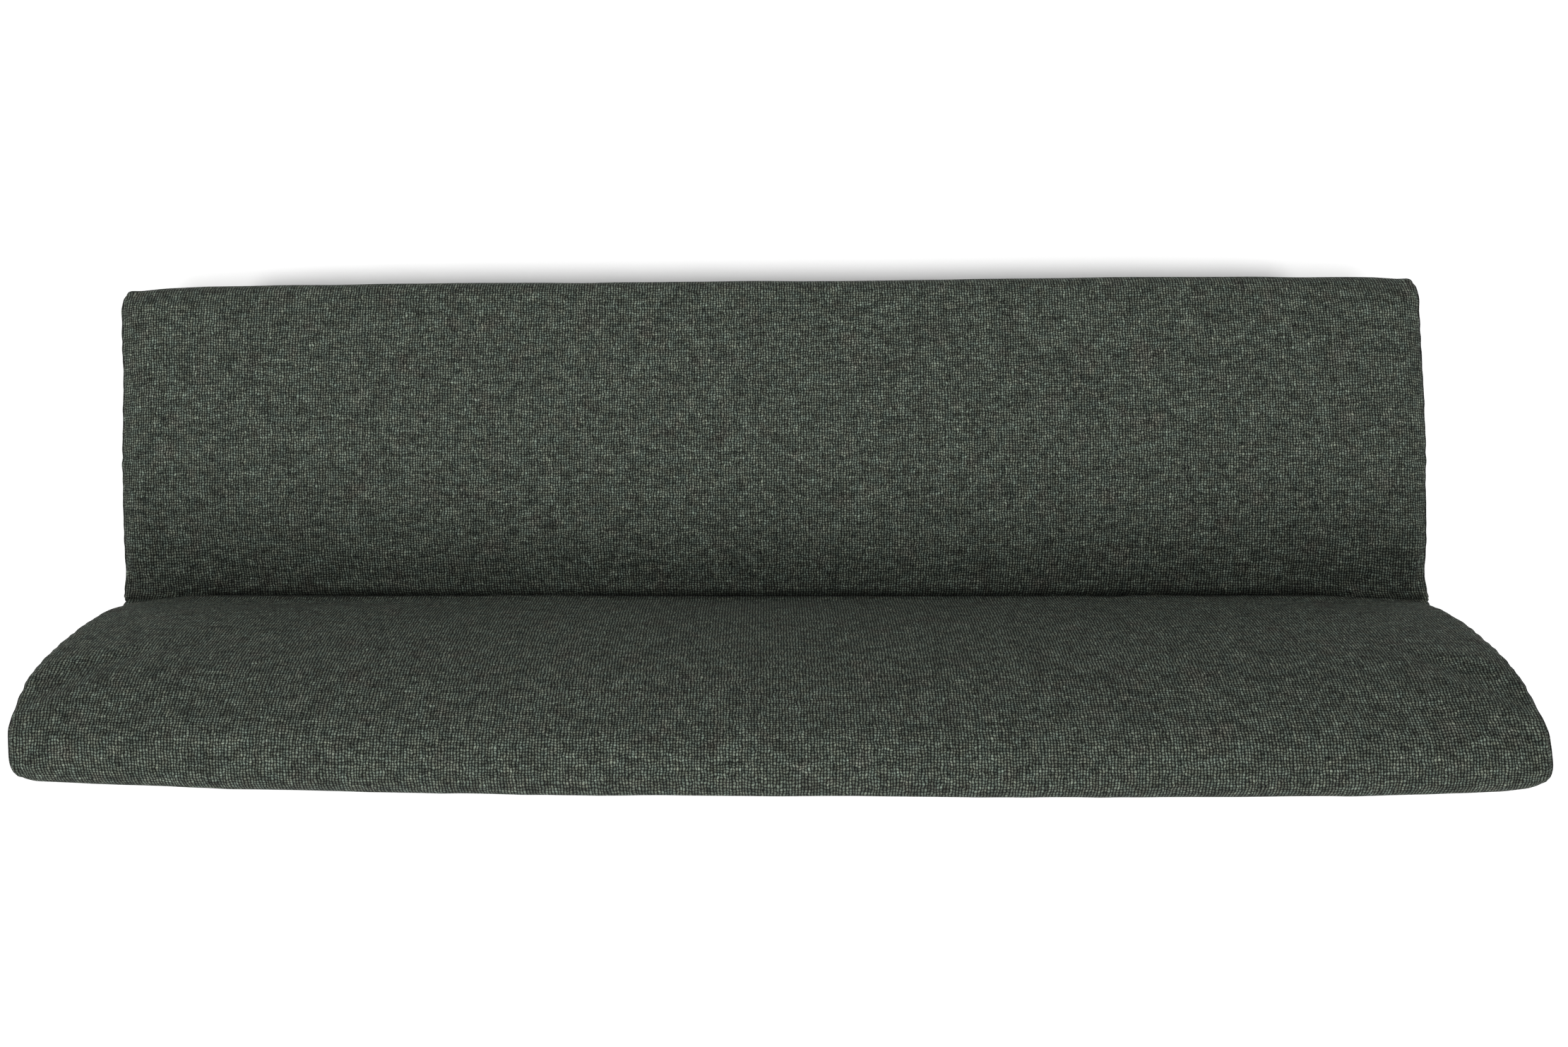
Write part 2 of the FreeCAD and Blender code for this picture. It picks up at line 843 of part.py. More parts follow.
def spring_clip():
    """Hooked clip on a rail at the origin, closed towards the front, and its wire along X."""
    inner = spring_wire / 2 + clip_play
    outer = inner + clip_thickness
    barrel = Part.makeCylinder(outer, clip_width, Vector(-clip_width / 2, 0, outer), ALONG)
    half = clip_width / 2
    strip = block(-half, half, 0, clip_base, 0, clip_thickness)
    lip = block(-half, half, 0, clip_lip, 2 * outer - clip_thickness, 2 * outer)
    bore = Part.makeCylinder(inner, clip_width, Vector(-half, 0, outer), ALONG)
    mouth = block(-half, half, 0, outer, outer - inner, outer + inner)
    return barrel.fuse([strip, lip]).cut([bore, mouth]).removeSplitter()


def spring_clips():
    """A clip at each end of each spring."""
    clip = spring_clip()
    turned_clip = clip.copy()
    turned_clip.rotate(Vector(), UP, 180)
    first, last = spring_span()
    clips = []
    for x in spring_centres():
        clips.append(clip.translated(Vector(x, first, rail_top)))
        clips.append(turned_clip.translated(Vector(x, last, rail_top)))
    return clips


def back_webbing():
    """Elastic straps between the two webbing rails."""
    step = (end_post_inner - mid_post_outer) / straps_per_bay
    low = lower_rail_span()[1] - strap_lap
    high = upper_rail_span()[0] + strap_lap
    straps = []
    for side in (-1, 1):
        for k in range(straps_per_bay):
            x = side * (mid_post_outer + step * (k + 0.5))
            edges = (x - strap_width / 2, x + strap_width / 2)
            straps.append(slab_bar(webbing_front, rail_front, low, high, *edges))
    return straps


# Legs and levelling feet


def leg(x, y):
    """Turned, tapered leg, bored at the top for its stud and at the foot for the foot's insert."""
    top = leg_top_diameter / 2
    foot = leg_bottom_diameter / 2
    steps = [math.radians(30 * k) for k in range(4)]
    rounded = [
        (
            foot - leg_edge_round * (1 - math.sin(turn)),
            leg_bottom + leg_edge_round * (1 - math.cos(turn)),
        )
        for turn in steps
    ]
    body = turned([(0, leg_bottom), *rounded, (top, leg_top), (0, leg_top)], x, y)
    hanger = Part.makeCylinder(
        hanger_diameter / 2 + bore_clearance,
        hanger_in_leg + bore_clearance,
        Vector(x, y, leg_top),
        UP * -1,
    )
    place = Vector(x, y, leg_bottom)
    seat = Part.makeCylinder(insert_diameter / 2, insert_length, place)
    room = Part.makeCylinder(
        stud_diameter / 2 + bolt_clearance, stud_engagement + foot_travel, place
    )
    return body.cut([hanger, seat, room]).removeSplitter()


def leg_insert(x, y):
    """Threaded sleeve in the foot of a leg."""
    place = Vector(x, y, leg_bottom)
    sleeve = Part.makeCylinder(insert_diameter / 2, insert_length, place)
    bore = Part.makeCylinder(stud_diameter / 2 + bore_clearance, insert_length, place)
    return sleeve.cut(bore)


def leg_plates():
    """Steel plates between the legs and their blocks, with countersunk holes."""
    half = plate_side / 2
    plates = [
        block(x - half, x + half, y - half, y + half, rail_bottom, block_bottom)
        for x, y in leg_places.values()
    ]
    holes = plate_screws(screw_clearance) + hanger_bolts(bore_clearance)
    return [cut_all(plate, holes) for plate in plates]


def foot_pad(x, y):
    """Nylon pad with a pocket that holds the head of the stud."""
    pocket_top = pad_floor + stud_head_height + 2 * fit_gap
    bore = stud_diameter / 2 + fit_gap
    pocket = stud_head_diameter / 2 + fit_gap
    rim = pad_diameter / 2
    return turned(
        [
            (0, 0),
            (rim - pad_edge, 0),
            (rim, pad_edge),
            (rim, pad_rim_height),
            (pad_neck_diameter / 2, pad_height),
            (bore, pad_height),
            (bore, pocket_top),
            (pocket, pocket_top),
            (pocket, pad_floor),
            (0, pad_floor),
        ],
        x,
        y,
    )


def foot_stud(x, y):
    """Threaded stud with a head in the pad and a hexagon for the spanner."""
    bottom = pad_floor + fit_gap
    head = stud_head_diameter / 2
    shank = stud_diameter / 2
    stud = turned(
        [
            (0, bottom),
            (head, bottom),
            (head, bottom + stud_head_height),
            (shank, bottom + stud_head_height),
            (shank, leg_bottom + stud_engagement),
            (0, leg_bottom + stud_engagement),
        ],
        x,
        y,
    )
    grip = hexagon(stud_hex, stud_hex_height, Vector(x, y, stud_hex_bottom), UP)
    return stud.fuse(grip).removeSplitter()


def build():
    """Every node of the bench: its name and its solid or solids."""
    bolts, washers, nuts, bolt_holes = post_bolts()
    screw_holes = frame_screws(screw_clearance)
    frame_holes = bolt_holes + screw_holes
    block_holes = plate_screws(screw_clearance) + hanger_bolts(bore_clearance)
    cover, panel = back_covers()
    nodes = {
        "seat_cover": seat_cover(),
        "seat_foam": seat_foam(),
        "insulator_pad": insulator_pad(),
        "back_cover": cover,
        "outside_back_panel": panel,
        "back_foam": back_foam(),
        "outside_back_padding": outside_padding_pad(),
        "dust_cover": dust_cover(),
        "seat_springs": seat_springs(),
        "spring_clips": spring_clips(),
        "back_webbing": back_webbing(),
        "back_board": back_board(),
        "leg_blocks": leg_blocks(block_holes),
        "leg_plates": leg_plates(),
        "leg_plate_screws": plate_screws(),
        "hanger_bolts": hanger_bolts(),
        "leg_inserts": [leg_insert(x, y) for x, y in leg_places.values()],
        "frame_screws": frame_screws(),
        "back_bolts": bolts,
        "back_bolt_washers": washers,
        "back_bolt_nuts": nuts,
    }
    nodes.update(seat_frame(frame_holes))
    nodes.update(back_posts(frame_holes))
    nodes.update(back_rails(frame_holes))
    for name, (x, y) in leg_places.items():
        nodes[f"leg_{name}"] = leg(x, y)
        nodes[f"foot_pad_{name}"] = foot_pad(x, y)
        nodes[f"foot_stud_{name}"] = foot_stud(x, y)
    return nodes


def main():
    os.makedirs("parts", exist_ok=True)
    for name, shape in build().items():
        whole = Part.makeCompound(shape) if isinstance(shape, list) else shape
        solids = whole.Solids
        if not whole.isValid() or not solids:
            raise ValueError(f"{name} is not a valid solid")
        Part.makeCompound(solids).exportStep(f"parts/{name}.step")
        print(name, len(solids), round(sum(s.Volume for s in solids)))
    print("overall depth", round(overall_depth, 1))


main()
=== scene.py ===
"""Looks of the dining banquette, in metres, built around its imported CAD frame."""

import json
import math

import bmesh
import bpy
import numpy as np
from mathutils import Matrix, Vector
from mathutils.bvhtree import BVHTree


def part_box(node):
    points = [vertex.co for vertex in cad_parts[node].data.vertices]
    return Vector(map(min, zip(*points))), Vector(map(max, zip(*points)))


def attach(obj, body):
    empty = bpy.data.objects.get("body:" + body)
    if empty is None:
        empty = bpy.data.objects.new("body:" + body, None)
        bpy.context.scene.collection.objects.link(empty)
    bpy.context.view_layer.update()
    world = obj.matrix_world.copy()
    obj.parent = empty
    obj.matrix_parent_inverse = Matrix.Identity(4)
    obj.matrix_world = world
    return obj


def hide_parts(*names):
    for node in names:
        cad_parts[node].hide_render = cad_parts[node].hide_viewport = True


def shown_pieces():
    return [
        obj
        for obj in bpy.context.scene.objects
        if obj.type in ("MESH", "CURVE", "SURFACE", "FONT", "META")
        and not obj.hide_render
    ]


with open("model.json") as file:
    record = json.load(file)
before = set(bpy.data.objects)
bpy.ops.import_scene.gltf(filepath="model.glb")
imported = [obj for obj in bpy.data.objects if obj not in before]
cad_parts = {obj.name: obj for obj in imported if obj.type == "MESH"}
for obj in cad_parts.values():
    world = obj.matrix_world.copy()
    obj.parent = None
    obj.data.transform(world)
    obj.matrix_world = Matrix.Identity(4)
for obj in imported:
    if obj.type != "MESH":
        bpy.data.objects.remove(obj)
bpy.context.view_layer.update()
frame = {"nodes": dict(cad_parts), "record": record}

# Camera: a plan view, with the seat's front edge at the top of the picture
IMAGE_WIDTH = 2220
SENSOR_WIDTH = 36.0
FOCAL_PIXELS = 2414.9
CAMERA_PLACE = (0.0067, -0.0104, 2.8485)
CAMERA_TURN = (-0.0008, 0.0206, math.pi - 0.0012)
CENTRE_SHIFT = (78.0, -21.0)  # pixels from the middle of the picture to the lens's axis

# Upholstered forms, read from the CAD covers
BACK_LEAN = math.radians(10.25)
FLAP_LEVEL = 0.395  # below this the covers run on in the crease, out of sight
HEM_LEVEL = 0.2862
HEM_ROUND = 0.0022
HEM_WIDTH = 0.0225
HEM_CATCH = 0.004  # an edge this near the hem's level is turned under
END_ROUND = 0.008
END_STEPS = 4
END_INSIDE = 0.998  # share of the rounding, so that the last section still meets the cover
STATION_STEP = 0.0145
SEAM_STEPS = (0.003, 0.007, 0.013, 0.021)  # finer stations beside a seam
PROFILE_STEP = 0.0095
RAY_COUNT = 1440
RAY_REACH = 1.2
RAY_MARGIN = 0.002  # radians left out at both ends of the half turn
RING_UNIT = 0.12  # depth of an end panel for which the seam steps are meant
INNER_RINGS = (0.3, 1.0, 9)  # first and last share of the way in to the spine, and how many

# Cloth simulation of the padding
CLOTH_SETTINGS = {
    "quality": 5,
    "mass": 0.3,
    "tension_stiffness": 12,
    "compression_stiffness": 12,
    "shear_stiffness": 8,
    "bending_stiffness": 4,
    "shrink_min": -0.012,  # cut larger than the form by this share
    "use_pressure": True,
    "uniform_pressure_force": 4.0,
}
CLOTH_FRAMES = 20
START_INSET = 0.001
SWELL_LIMIT = 0.006
SINK_LIMIT = 0.0012  # most that the filled cloth may lie inside the drawn form
SEAM_HOLD = 0.85
HELD_SEAM = 0.006  # reach of the hold beside a seam
HELD_HEM = 0.012
HIDDEN_REACH = 0.006  # the covers are held where they meet out of sight
SEAT_HIDDEN_DROP = 0.012
BACK_HIDDEN_DROP = 0.006
PANEL_HIDDEN_RISE = 0.01

# Seams and padding
SEAM_DEPTH = 0.0022
SEAM_WIDTH = 0.0035
PUCKER_DEPTH = 0.0005
PUCKER_PITCH = 0.027
PUCKER_REACH = 0.011
PUCKER_SLANT = 0.3
LUMP_DEPTH = 0.0007
LUMP_PITCHES = (0.21, 0.17)
LUMP_SLANTS = (0.4, 0.3)
RIPPLE_RATES = (1.0, 0.618, 1.47, 0.273)
RIPPLE_PEAK = 2.4  # most that the summed waves usually reach
SEAT_SEED = 11
BACK_SEED = 23
BULGE_SEED = 5
PANEL_SEED = 31
DUST_SEED = 41
STAPLE_SEED = 7
SPINE_INSET = 0.18  # share of an end panel's depth
SPINE_TOP = 0.09

# Crease between seat and back, and the form of the back's face
CREASE_Y = 0.1167
CREASE_Z = 0.445
BACK_FOOT_REAR = 0.222
REAR_FACE = 0.10
BULGE_DEPTH = -0.006
BULGE_ROOT = 0.008
BULGE_HEIGHT = 0.016
BULGE_FADE = 0.09
BULGE_WAVE = 0.0032
BULGE_PITCH = 0.7
GROOVE_DEPTH = 0.016
GROOVE_REACH = 0.012
GROOVE_ENDS = (0.78, 0.05)  # distance from the middle where it starts to fade, and over which
CREASE_REACH = 0.004
CREASE_RUN = (0.03, 0.06)
CORNER_REACH = 0.006
CORNER_RUN = (0.74, 0.14)
FLAP_FADE = 0.03
SHOULDER_DEPTH = 0.0075
SHOULDER_LEVEL = 0.752
SHOULDER_SPREAD = 0.07
TUCK_PLACE = (0.832, 0.108)
TUCK_DEPTH = 0.007
TUCK_REACH = 0.008

# Uneven filling: each table holds (place, outward move) in metres along the axis that its name gives
FRONT_BY_X = (
    (-0.915, 0.010), (-0.86, 0.0125), (-0.1, 0.0), (0.3, 0.0),
    (0.8, 0.004), (0.86, 0.003), (0.92, -0.0015),
)
REAR_BY_X = ((-0.92, 0.005), (-0.86, 0.010), (-0.78, 0.0105), (-0.1, 0.001), (0.9, 0.003))
SEAT_RIGHT_BY_Y = (
    (-0.33, -0.006), (-0.2, 0.0), (-0.1, 0.004), (0.0, 0.005),
    (0.08, 0.004), (0.1, 0.008), (0.115, 0.019),
)
SEAT_LEFT_BY_Y = (
    (-0.33, 0.006), (-0.2, 0.003), (0.0, 0.003), (0.08, 0.0), (0.1, 0.002), (0.115, 0.010),
)
BACK_RIGHT_BY_Y = (
    (0.125, 0.010), (0.14, 0.004), (0.18, 0.001), (0.22, 0.0), (0.27, 0.004), (0.32, 0.006),
)
BACK_LEFT_BY_Y = (
    (0.125, 0.003), (0.14, 0.003), (0.2, 0.004), (0.24, 0.0), (0.28, -0.004), (0.32, -0.008),
)
SEAT_INWARD_LEVEL = 0.375  # the frame leaves no room for an inward move below this
BACK_INWARD_LEVEL = 0.784
INWARD_FADE = 0.035
HEM_FADE = 0.13  # each pair below is where a move starts and the run over which it grows
FRONT_RUN = (-0.05, 0.35)
REAR_RUN = (0.17, 0.13)
REAR_RISE = (0.5, 0.3)
END_RUN = (0.45, 0.45)

# Corners: a negative share sharpens one, and each fades in above its level
HALF_WIDTH = 0.915
SEAT_FRONT = 0.3323
BACK_REAR = 0.1365
SEAT_CORNER = {"radius": 0.024, "end": -1.0, "face": -0.35, "level": 0.287, "fade": 0.13}
BACK_CORNER = {"radius": 0.030, "end": 0.5, "face": 0.5, "level": 0.784, "fade": 0.028}

# Outside back panel and dust cover
PANEL_RISE = 0.0028
PANEL_ROLL = 0.004
PANEL_SINK = -0.0008
PANEL_PULL = 0.0006
PANEL_PULL_REACH = 0.03
PANEL_PULL_PITCH = 0.036
PANEL_STEP = 0.018
PANEL_MARGIN = (0.0003, 0.0006)  # inside the CAD panel's edges, across and up
PANEL_FOLD = (0.029, 0.003)  # how far the lower edge is turned under, end and bend
PANEL_FOLD_DROP = 0.0012
PANEL_THICKNESS = 0.0016
FINE_STEPS = (0.0, 0.0015, 0.003, 0.006, 0.011)  # finer places beside the panel's edges
FINE_ZONE = 0.02
DUST_SLACK = 0.003
DUST_SLACK_RUN = (0.03, 0.12)  # distance from the edge where it starts, and over which it grows
DUST_WAVE = 0.35
DUST_WAVE_PITCH = 0.19
DUST_WAVE_SLANT = 0.5
DUST_STEP = 0.0115
DUST_THICKNESS = 0.0006
LEG_HOLE = 0.025
LEG_HOLE_CUT = 0.004
LEG_HOLE_RIM = 0.02
STAPLE_EDGE = 0.008
STAPLE_PITCH = 0.048
STAPLE_CROWN = 0.0115
STAPLE_WIDTH = 0.0013
STAPLE_WIRE = 0.0006
STAPLE_LINE = (  # share of the crown, and rise above the cloth
    (-0.5, 0.0012), (-0.5, -0.0002), (-0.42, -0.0006), (0.42, -0.0006), (0.5, -0.0002), (0.5, 0.0012),
)
STAPLE_RING = ((-0.5, 0), (0.5, 0), (0.5, 1), (-0.5, 1))
STAPLE_LEG = 0.45  # share of the crown beyond which the wire is a leg
STAPLE_SINK = 0.0002
STAPLE_SWING = 0.12
STAPLE_SLIP = 0.006
STAPLE_SHIFT = 0.0015
STAPLE_ENDS_X = (0.03, 0.02)  # bare cloth before the first and after the last of a row
STAPLE_ENDS_Y = (0.05, 0.03)

# Light: each sun has its tilt from straight down, towards the rear and towards -X, in degrees
FLOOR_REACH = 30.0
AMBIENT = 0.63
HORIZON_LIGHT = 1.02
HORIZON_BAND = (0.12, 0.40)  # rise of the sight line over which the paler horizon fades
FLOOR_SUN_LEFT = {"rear": 9.1, "side": 9.0, "spread": 7.5, "strength": 2.5}
FLOOR_SUN_RIGHT = {"rear": 9.1, "side": -10.0, "spread": 7.5, "strength": 2.5}
BENCH_KEY = {"rear": 33.0, "side": 0.0, "spread": 22.0, "strength": 2.8}
SOFTBOX_PLACE = (0.6, -0.6, 3.2)
SOFTBOX_TARGET = (0.0, 0.0, 0.5)
SOFTBOX_SIZE = 1.0
SOFTBOX_POWER = 42.0
BENCH_FRONT = {"rear": -62.0, "side": 0.0, "spread": 30.0, "strength": 0.2}

# Weave: each pair of lights is that of the darkest and of the lightest yarn, bead or patch
WARP_PITCH = 0.0037
WEFT_PITCH = 0.0034
WARP_WANDER = 1.6
WEFT_WANDER = 2.4
BEAD_SHARE = 0.72
GAP_LIGHT = 0.05
WARP_LIGHT = (0.56, 1.44)
WEFT_LIGHT = (0.55, 1.4)
BEAD_LIGHT = (0.74, 1.26)
PATCH_LIGHT = (0.93, 1.08)
OLIVE_YARN = (0.098, 0.110, 0.086, 1.0)
TEAL_YARN = (0.089, 0.111, 0.092, 1.0)
BROWN_YARN = (0.103, 0.088, 0.074, 1.0)
BROWN_SHARE = 0.35
BROWN_SPAN = (0.55, 0.72)  # noise over which the brown yarn comes in
HUE_SPAN = (0.35, 0.65)
NOISE_SPAN = (0.3, 0.7)  # most values of a noise lie between these
HEIGHT_SPAN = (0.25, 0.95)
WANDER_SCALE = 90.0
DRIFT_SCALE = 110.0
PATCH_SCALE = 34.0
HUE_SCALE = 70.0
BROWN_SCALE = 22.0
WARP_STREAK = 0.30
WEFT_STREAK = 0.15
WEAVE_RELIEF = 0.0012
YARN_SPREAD = 7.13  # sets the noise of neighbouring yarns apart

random = np.random.default_rng(STAPLE_SEED)


# Node trees


class Graph:
    """A material's node tree, written as short calls."""

    def __init__(self, name):
        self.material = bpy.data.materials.new(name)
        self.material.use_nodes = True
        self.tree = self.material.node_tree
        self.tree.nodes.clear()
        self.shader = self.node("ShaderNodeBsdfPrincipled")
        output = self.node("ShaderNodeOutputMaterial")
        self.tree.links.new(self.shader.outputs["BSDF"], output.inputs["Surface"])

    def node(self, kind, **settings):
        made = self.tree.nodes.new(kind)
        for key, value in settings.items():
            setattr(made, key, value)
        return made

    def feed(self, socket, value):
        """Link a socket to the input, or set the input to a constant."""
        if isinstance(value, bpy.types.NodeSocket):
            self.tree.links.new(value, socket)
        else:
            socket.default_value = value

    def math(self, operation, *values):
        made = self.node("ShaderNodeMath", operation=operation)
        for socket, value in zip(made.inputs, values):
            self.feed(socket, value)
        return made.outputs[0]

    def vector(self, x, y, z=0.0):
        made = self.node("ShaderNodeCombineXYZ")
        for socket, value in zip(made.inputs, (x, y, z)):
            self.feed(socket, value)
        return made.outputs[0]

    def split(self, vector):
        made = self.node("ShaderNodeSeparateXYZ")
        self.feed(made.inputs[0], vector)
        return made.outputs

    def noise(self, vector, scale, detail=2.0, roughness=0.5):
        made = self.node("ShaderNodeTexNoise")
        self.feed(made.inputs["Vector"], vector)
        made.inputs["Scale"].default_value = scale
        made.inputs["Detail"].default_value = detail
        made.inputs["Roughness"].default_value = roughness
        return made.outputs["Fac"]

    def speckle(self, vector):
        """A random value for each whole-number cell of the vector."""
        made = self.node("ShaderNodeTexWhiteNoise", noise_dimensions="2D")
        self.feed(made.inputs["Vector"], vector)
        return made.outputs["Value"]

    def range(self, value, low, high, to_low, to_high):
        made = self.node("ShaderNodeMapRange")
        for socket, number in zip(made.inputs, (value, low, high, to_low, to_high)):
            self.feed(socket, number)
        return made.outputs[0]

    def mix(self, share, first, second):
        made = self.node("ShaderNodeMixRGB")
        for socket, value in zip(made.inputs, (share, first, second)):
            self.feed(socket, value)
        return made.outputs[0]

    def shade(self, colour, amount):
        """The colour times a grey amount."""
        made = self.node("ShaderNodeVectorMath", operation="SCALE")
        self.feed(made.inputs[0], colour)
        self.feed(made.inputs["Scale"], amount)
        return made.outputs[0]

    def bump(self, height, strength, distance):
        made = self.node("ShaderNodeBump")
        made.inputs["Strength"].default_value = strength
        made.inputs["Distance"].default_value = distance
        self.feed(made.inputs["Height"], height)
        self.feed(self.shader.inputs["Normal"], made.outputs[0])

    def place(self, stretch=(1, 1, 1)):
        """The surface's place in the object, in metres, scaled along each axis."""
        made = self.node("ShaderNodeMapping")
        self.feed(made.inputs["Vector"], self.node("ShaderNodeTexCoord").outputs["Object"])
        made.inputs["Scale"].default_value = stretch
        return made.outputs[0]

    def finish(self, **inputs):
        """Set the shader's inputs by name, with spaces written as _, and return the material."""
        for key, value in inputs.items():
            self.feed(self.shader.inputs[key.replace("_", " ").title()], value)
        return self.material


def rgb(red, green, blue):
    return (red, green, blue, 1.0)


# Fabrics


def crown(graph, turns):
    """Rounded section of threads that lie side by side: 0 between two and 1 on top of each."""
    offset = graph.math("SUBTRACT", graph.math("FRACT", turns), 0.5)
    return graph.math("COSINE", graph.math("MULTIPLY", offset, math.pi))


def yarn_noise(graph, index, along, stretch):
    """Smooth noise along each numbered yarn, unlike that of the yarns beside it."""
    lane = graph.math("MULTIPLY", index, YARN_SPREAD)
    place = graph.vector(lane, graph.math("MULTIPLY", along, stretch))
    return graph.noise(place, 1.0, detail=2.0, roughness=0.55)


def weave():
    """Coarse weave of beaded, uneven light yarns over dark ones, on the cloth's own coordinates."""
    graph = Graph("upholstery_weave")
    cloth = graph.node("ShaderNodeUVMap", uv_map="weave").outputs[0]
    u, v, _ = graph.split(cloth)
    wander = graph.math("SUBTRACT", graph.noise(cloth, WANDER_SCALE, detail=3.0, roughness=0.6), 0.5)
    drift = graph.math("SUBTRACT", graph.noise(cloth, DRIFT_SCALE, detail=3.0, roughness=0.6), 0.5)
    warp = graph.math("MULTIPLY_ADD", wander, WARP_WANDER, graph.math("DIVIDE", u, WARP_PITCH))
    weft = graph.math("MULTIPLY_ADD", drift, WEFT_WANDER, graph.math("DIVIDE", v, WEFT_PITCH))
    warp_index = graph.math("FLOOR", warp)
    weft_index = graph.math("FLOOR", weft)

    bead = graph.math("MULTIPLY_ADD", crown(graph, weft), BEAD_SHARE, 1.0 - BEAD_SHARE)
    height = graph.math("MULTIPLY", crown(graph, warp), bead)
    light = graph.range(height, *HEIGHT_SPAN, GAP_LIGHT, 1.0)
    warp_yarn = yarn_noise(graph, warp_index, weft, WARP_STREAK)
    weft_yarn = yarn_noise(graph, weft_index, warp, WEFT_STREAK)
    light = graph.math("MULTIPLY", light, graph.range(warp_yarn, *NOISE_SPAN, *WARP_LIGHT))
    light = graph.math("MULTIPLY", light, graph.range(weft_yarn, *NOISE_SPAN, *WEFT_LIGHT))
    lot = graph.speckle(graph.vector(warp_index, weft_index))
    light = graph.math("MULTIPLY", light, graph.range(lot, 0.0, 1.0, *BEAD_LIGHT))
    patch = graph.noise(cloth, PATCH_SCALE, detail=3.0, roughness=0.6)
    light = graph.math("MULTIPLY", light, graph.range(patch, *NOISE_SPAN, *PATCH_LIGHT))

    hue = graph.noise(cloth, HUE_SCALE, detail=2.0, roughness=0.7)
    colour = graph.mix(graph.range(hue, *HUE_SPAN, 0.0, 1.0), OLIVE_YARN, TEAL_YARN)
    brown = graph.noise(cloth, BROWN_SCALE, detail=2.0, roughness=0.6)
    colour = graph.mix(graph.range(brown, *BROWN_SPAN, 0.0, BROWN_SHARE), colour, BROWN_YARN)
    graph.bump(height, strength=0.6, distance=WEAVE_RELIEF)
    graph.shader.inputs["Sheen Weight"].default_value = 0.01
    graph.shader.inputs["Sheen Roughness"].default_value = 0.5
    graph.shader.inputs["Specular IOR Level"].default_value = 0.1
    return graph.finish(base_color=graph.shade(colour, light), roughness=0.92)


def dust_cloth():
    """Thin black non-woven cloth with matted fibres and a fine spot-bonded dimple."""
    graph = Graph("dust_cloth_fibres")
    place = graph.place()
    fibres = graph.noise(place, 900.0, detail=4.0, roughness=0.75)
    cloudy = graph.noise(place, 45.0, detail=3.0, roughness=0.6)
    share = graph.range(fibres, 0.3, 0.75, 0.0, 1.0)
    colour = graph.mix(share, rgb(0.008, 0.008, 0.009), rgb(0.045, 0.045, 0.048))
    colour = graph.shade(colour, graph.range(cloudy, 0.3, 0.7, 0.7, 1.25))
    graph.bump(fibres, strength=0.5, distance=0.0006)
    graph.shader.inputs["Sheen Weight"].default_value = 0.1
    return graph.finish(base_color=colour, roughness=0.9)


def soft_filling(name, dark, light, scale):
    """Foam, wadding or felt: two tones of fibre or cell at one scale."""
    graph = Graph(name)
    cells = graph.noise(graph.place(), scale, detail=4.0, roughness=0.7)
    colour = graph.mix(graph.range(cells, 0.35, 0.65, 0.0, 1.0), dark, light)
    graph.bump(cells, strength=0.5, distance=0.001)
    return graph.finish(base_color=colour, roughness=0.95)


def webbing():
    """Elastic webbing with ribs across each strap."""
    graph = Graph("webbing_ribs")
    x, _, z = graph.split(graph.place())
    ribs = graph.math("SINE", graph.math("MULTIPLY", z, 2400.0))
    edges = graph.math("SINE", graph.math("MULTIPLY", x, 900.0))
    share = graph.range(ribs, -1.0, 1.0, 0.0, 1.0)
    colour = graph.mix(share, rgb(0.02, 0.02, 0.02), rgb(0.09, 0.09, 0.085))
    graph.bump(graph.math("MULTIPLY_ADD", edges, 0.3, ribs), strength=0.4, distance=0.0006)
    return graph.finish(base_color=colour, roughness=0.8)


# Wood, metal and plastic


def timber(name, stretch, dark, light, roughness, coat=0.0):
    """Wood with growth streaks and short pores along the axis that the stretch leaves long."""
    graph = Graph(name)
    place = graph.place(stretch)
    streaks = graph.noise(place, 9.0, detail=5.0, roughness=0.62)
    pores = graph.noise(place, 70.0, detail=2.0, roughness=0.5)
    colour = graph.mix(graph.range(streaks, 0.3, 0.7, 0.0, 1.0), dark, light)
    colour = graph.shade(colour, graph.range(pores, 0.32, 0.45, 0.55, 1.0))
    graph.bump(pores, strength=0.15, distance=0.0004)
    graph.shader.inputs["Coat Weight"].default_value = coat
    graph.shader.inputs["Coat Roughness"].default_value = 0.25
    dull = graph.range(streaks, 0.3, 0.7, roughness - 0.06, roughness + 0.08)
    return graph.finish(base_color=colour, roughness=dull)


def metal(name, dark, light, roughness):
    """Plated or oiled steel with fine mottling."""
    graph = Graph(name)
    mottle = graph.noise(graph.place(), 420.0, detail=4.0, roughness=0.65)
    colour = graph.mix(graph.range(mottle, 0.3, 0.7, 0.0, 1.0), dark, light)
    graph.bump(mottle, strength=0.08, distance=0.0003)
    graph.shader.inputs["Metallic"].default_value = 1.0
    dull = graph.range(mottle, 0.3, 0.7, roughness - 0.08, roughness + 0.1)
    return graph.finish(base_color=colour, roughness=dull)


def nylon():
    """Black moulded nylon with a fine spark-eroded grain and scuffs near the floor."""
    graph = Graph("nylon_moulded")
    place = graph.place()
    grain = graph.noise(place, 1600.0, detail=2.0)
    scuffs = graph.noise(place, 160.0, detail=4.0, roughness=0.7)
    level = graph.split(place)[2]
    near_floor = graph.range(level, 0.0, 0.004, 1.0, 0.0)
    worn = graph.math("MULTIPLY", graph.range(scuffs, 0.52, 0.7, 0.0, 1.0), near_floor)
    colour = graph.mix(worn, rgb(0.012, 0.012, 0.013), rgb(0.11, 0.105, 0.1))
    graph.bump(grain, strength=0.2, distance=0.0002)
    return graph.finish(base_color=colour, roughness=0.48)


def floor_paint():
    """Plain pale floor."""
    graph = Graph("pale_floor")
    cloud = graph.noise(graph.place(), 1.5, detail=2.0)
    colour = graph.mix(cloud, rgb(0.5, 0.5, 0.5), rgb(0.52, 0.52, 0.52))
    return graph.finish(base_color=colour, roughness=0.9)


# Cross-sections of the CAD covers


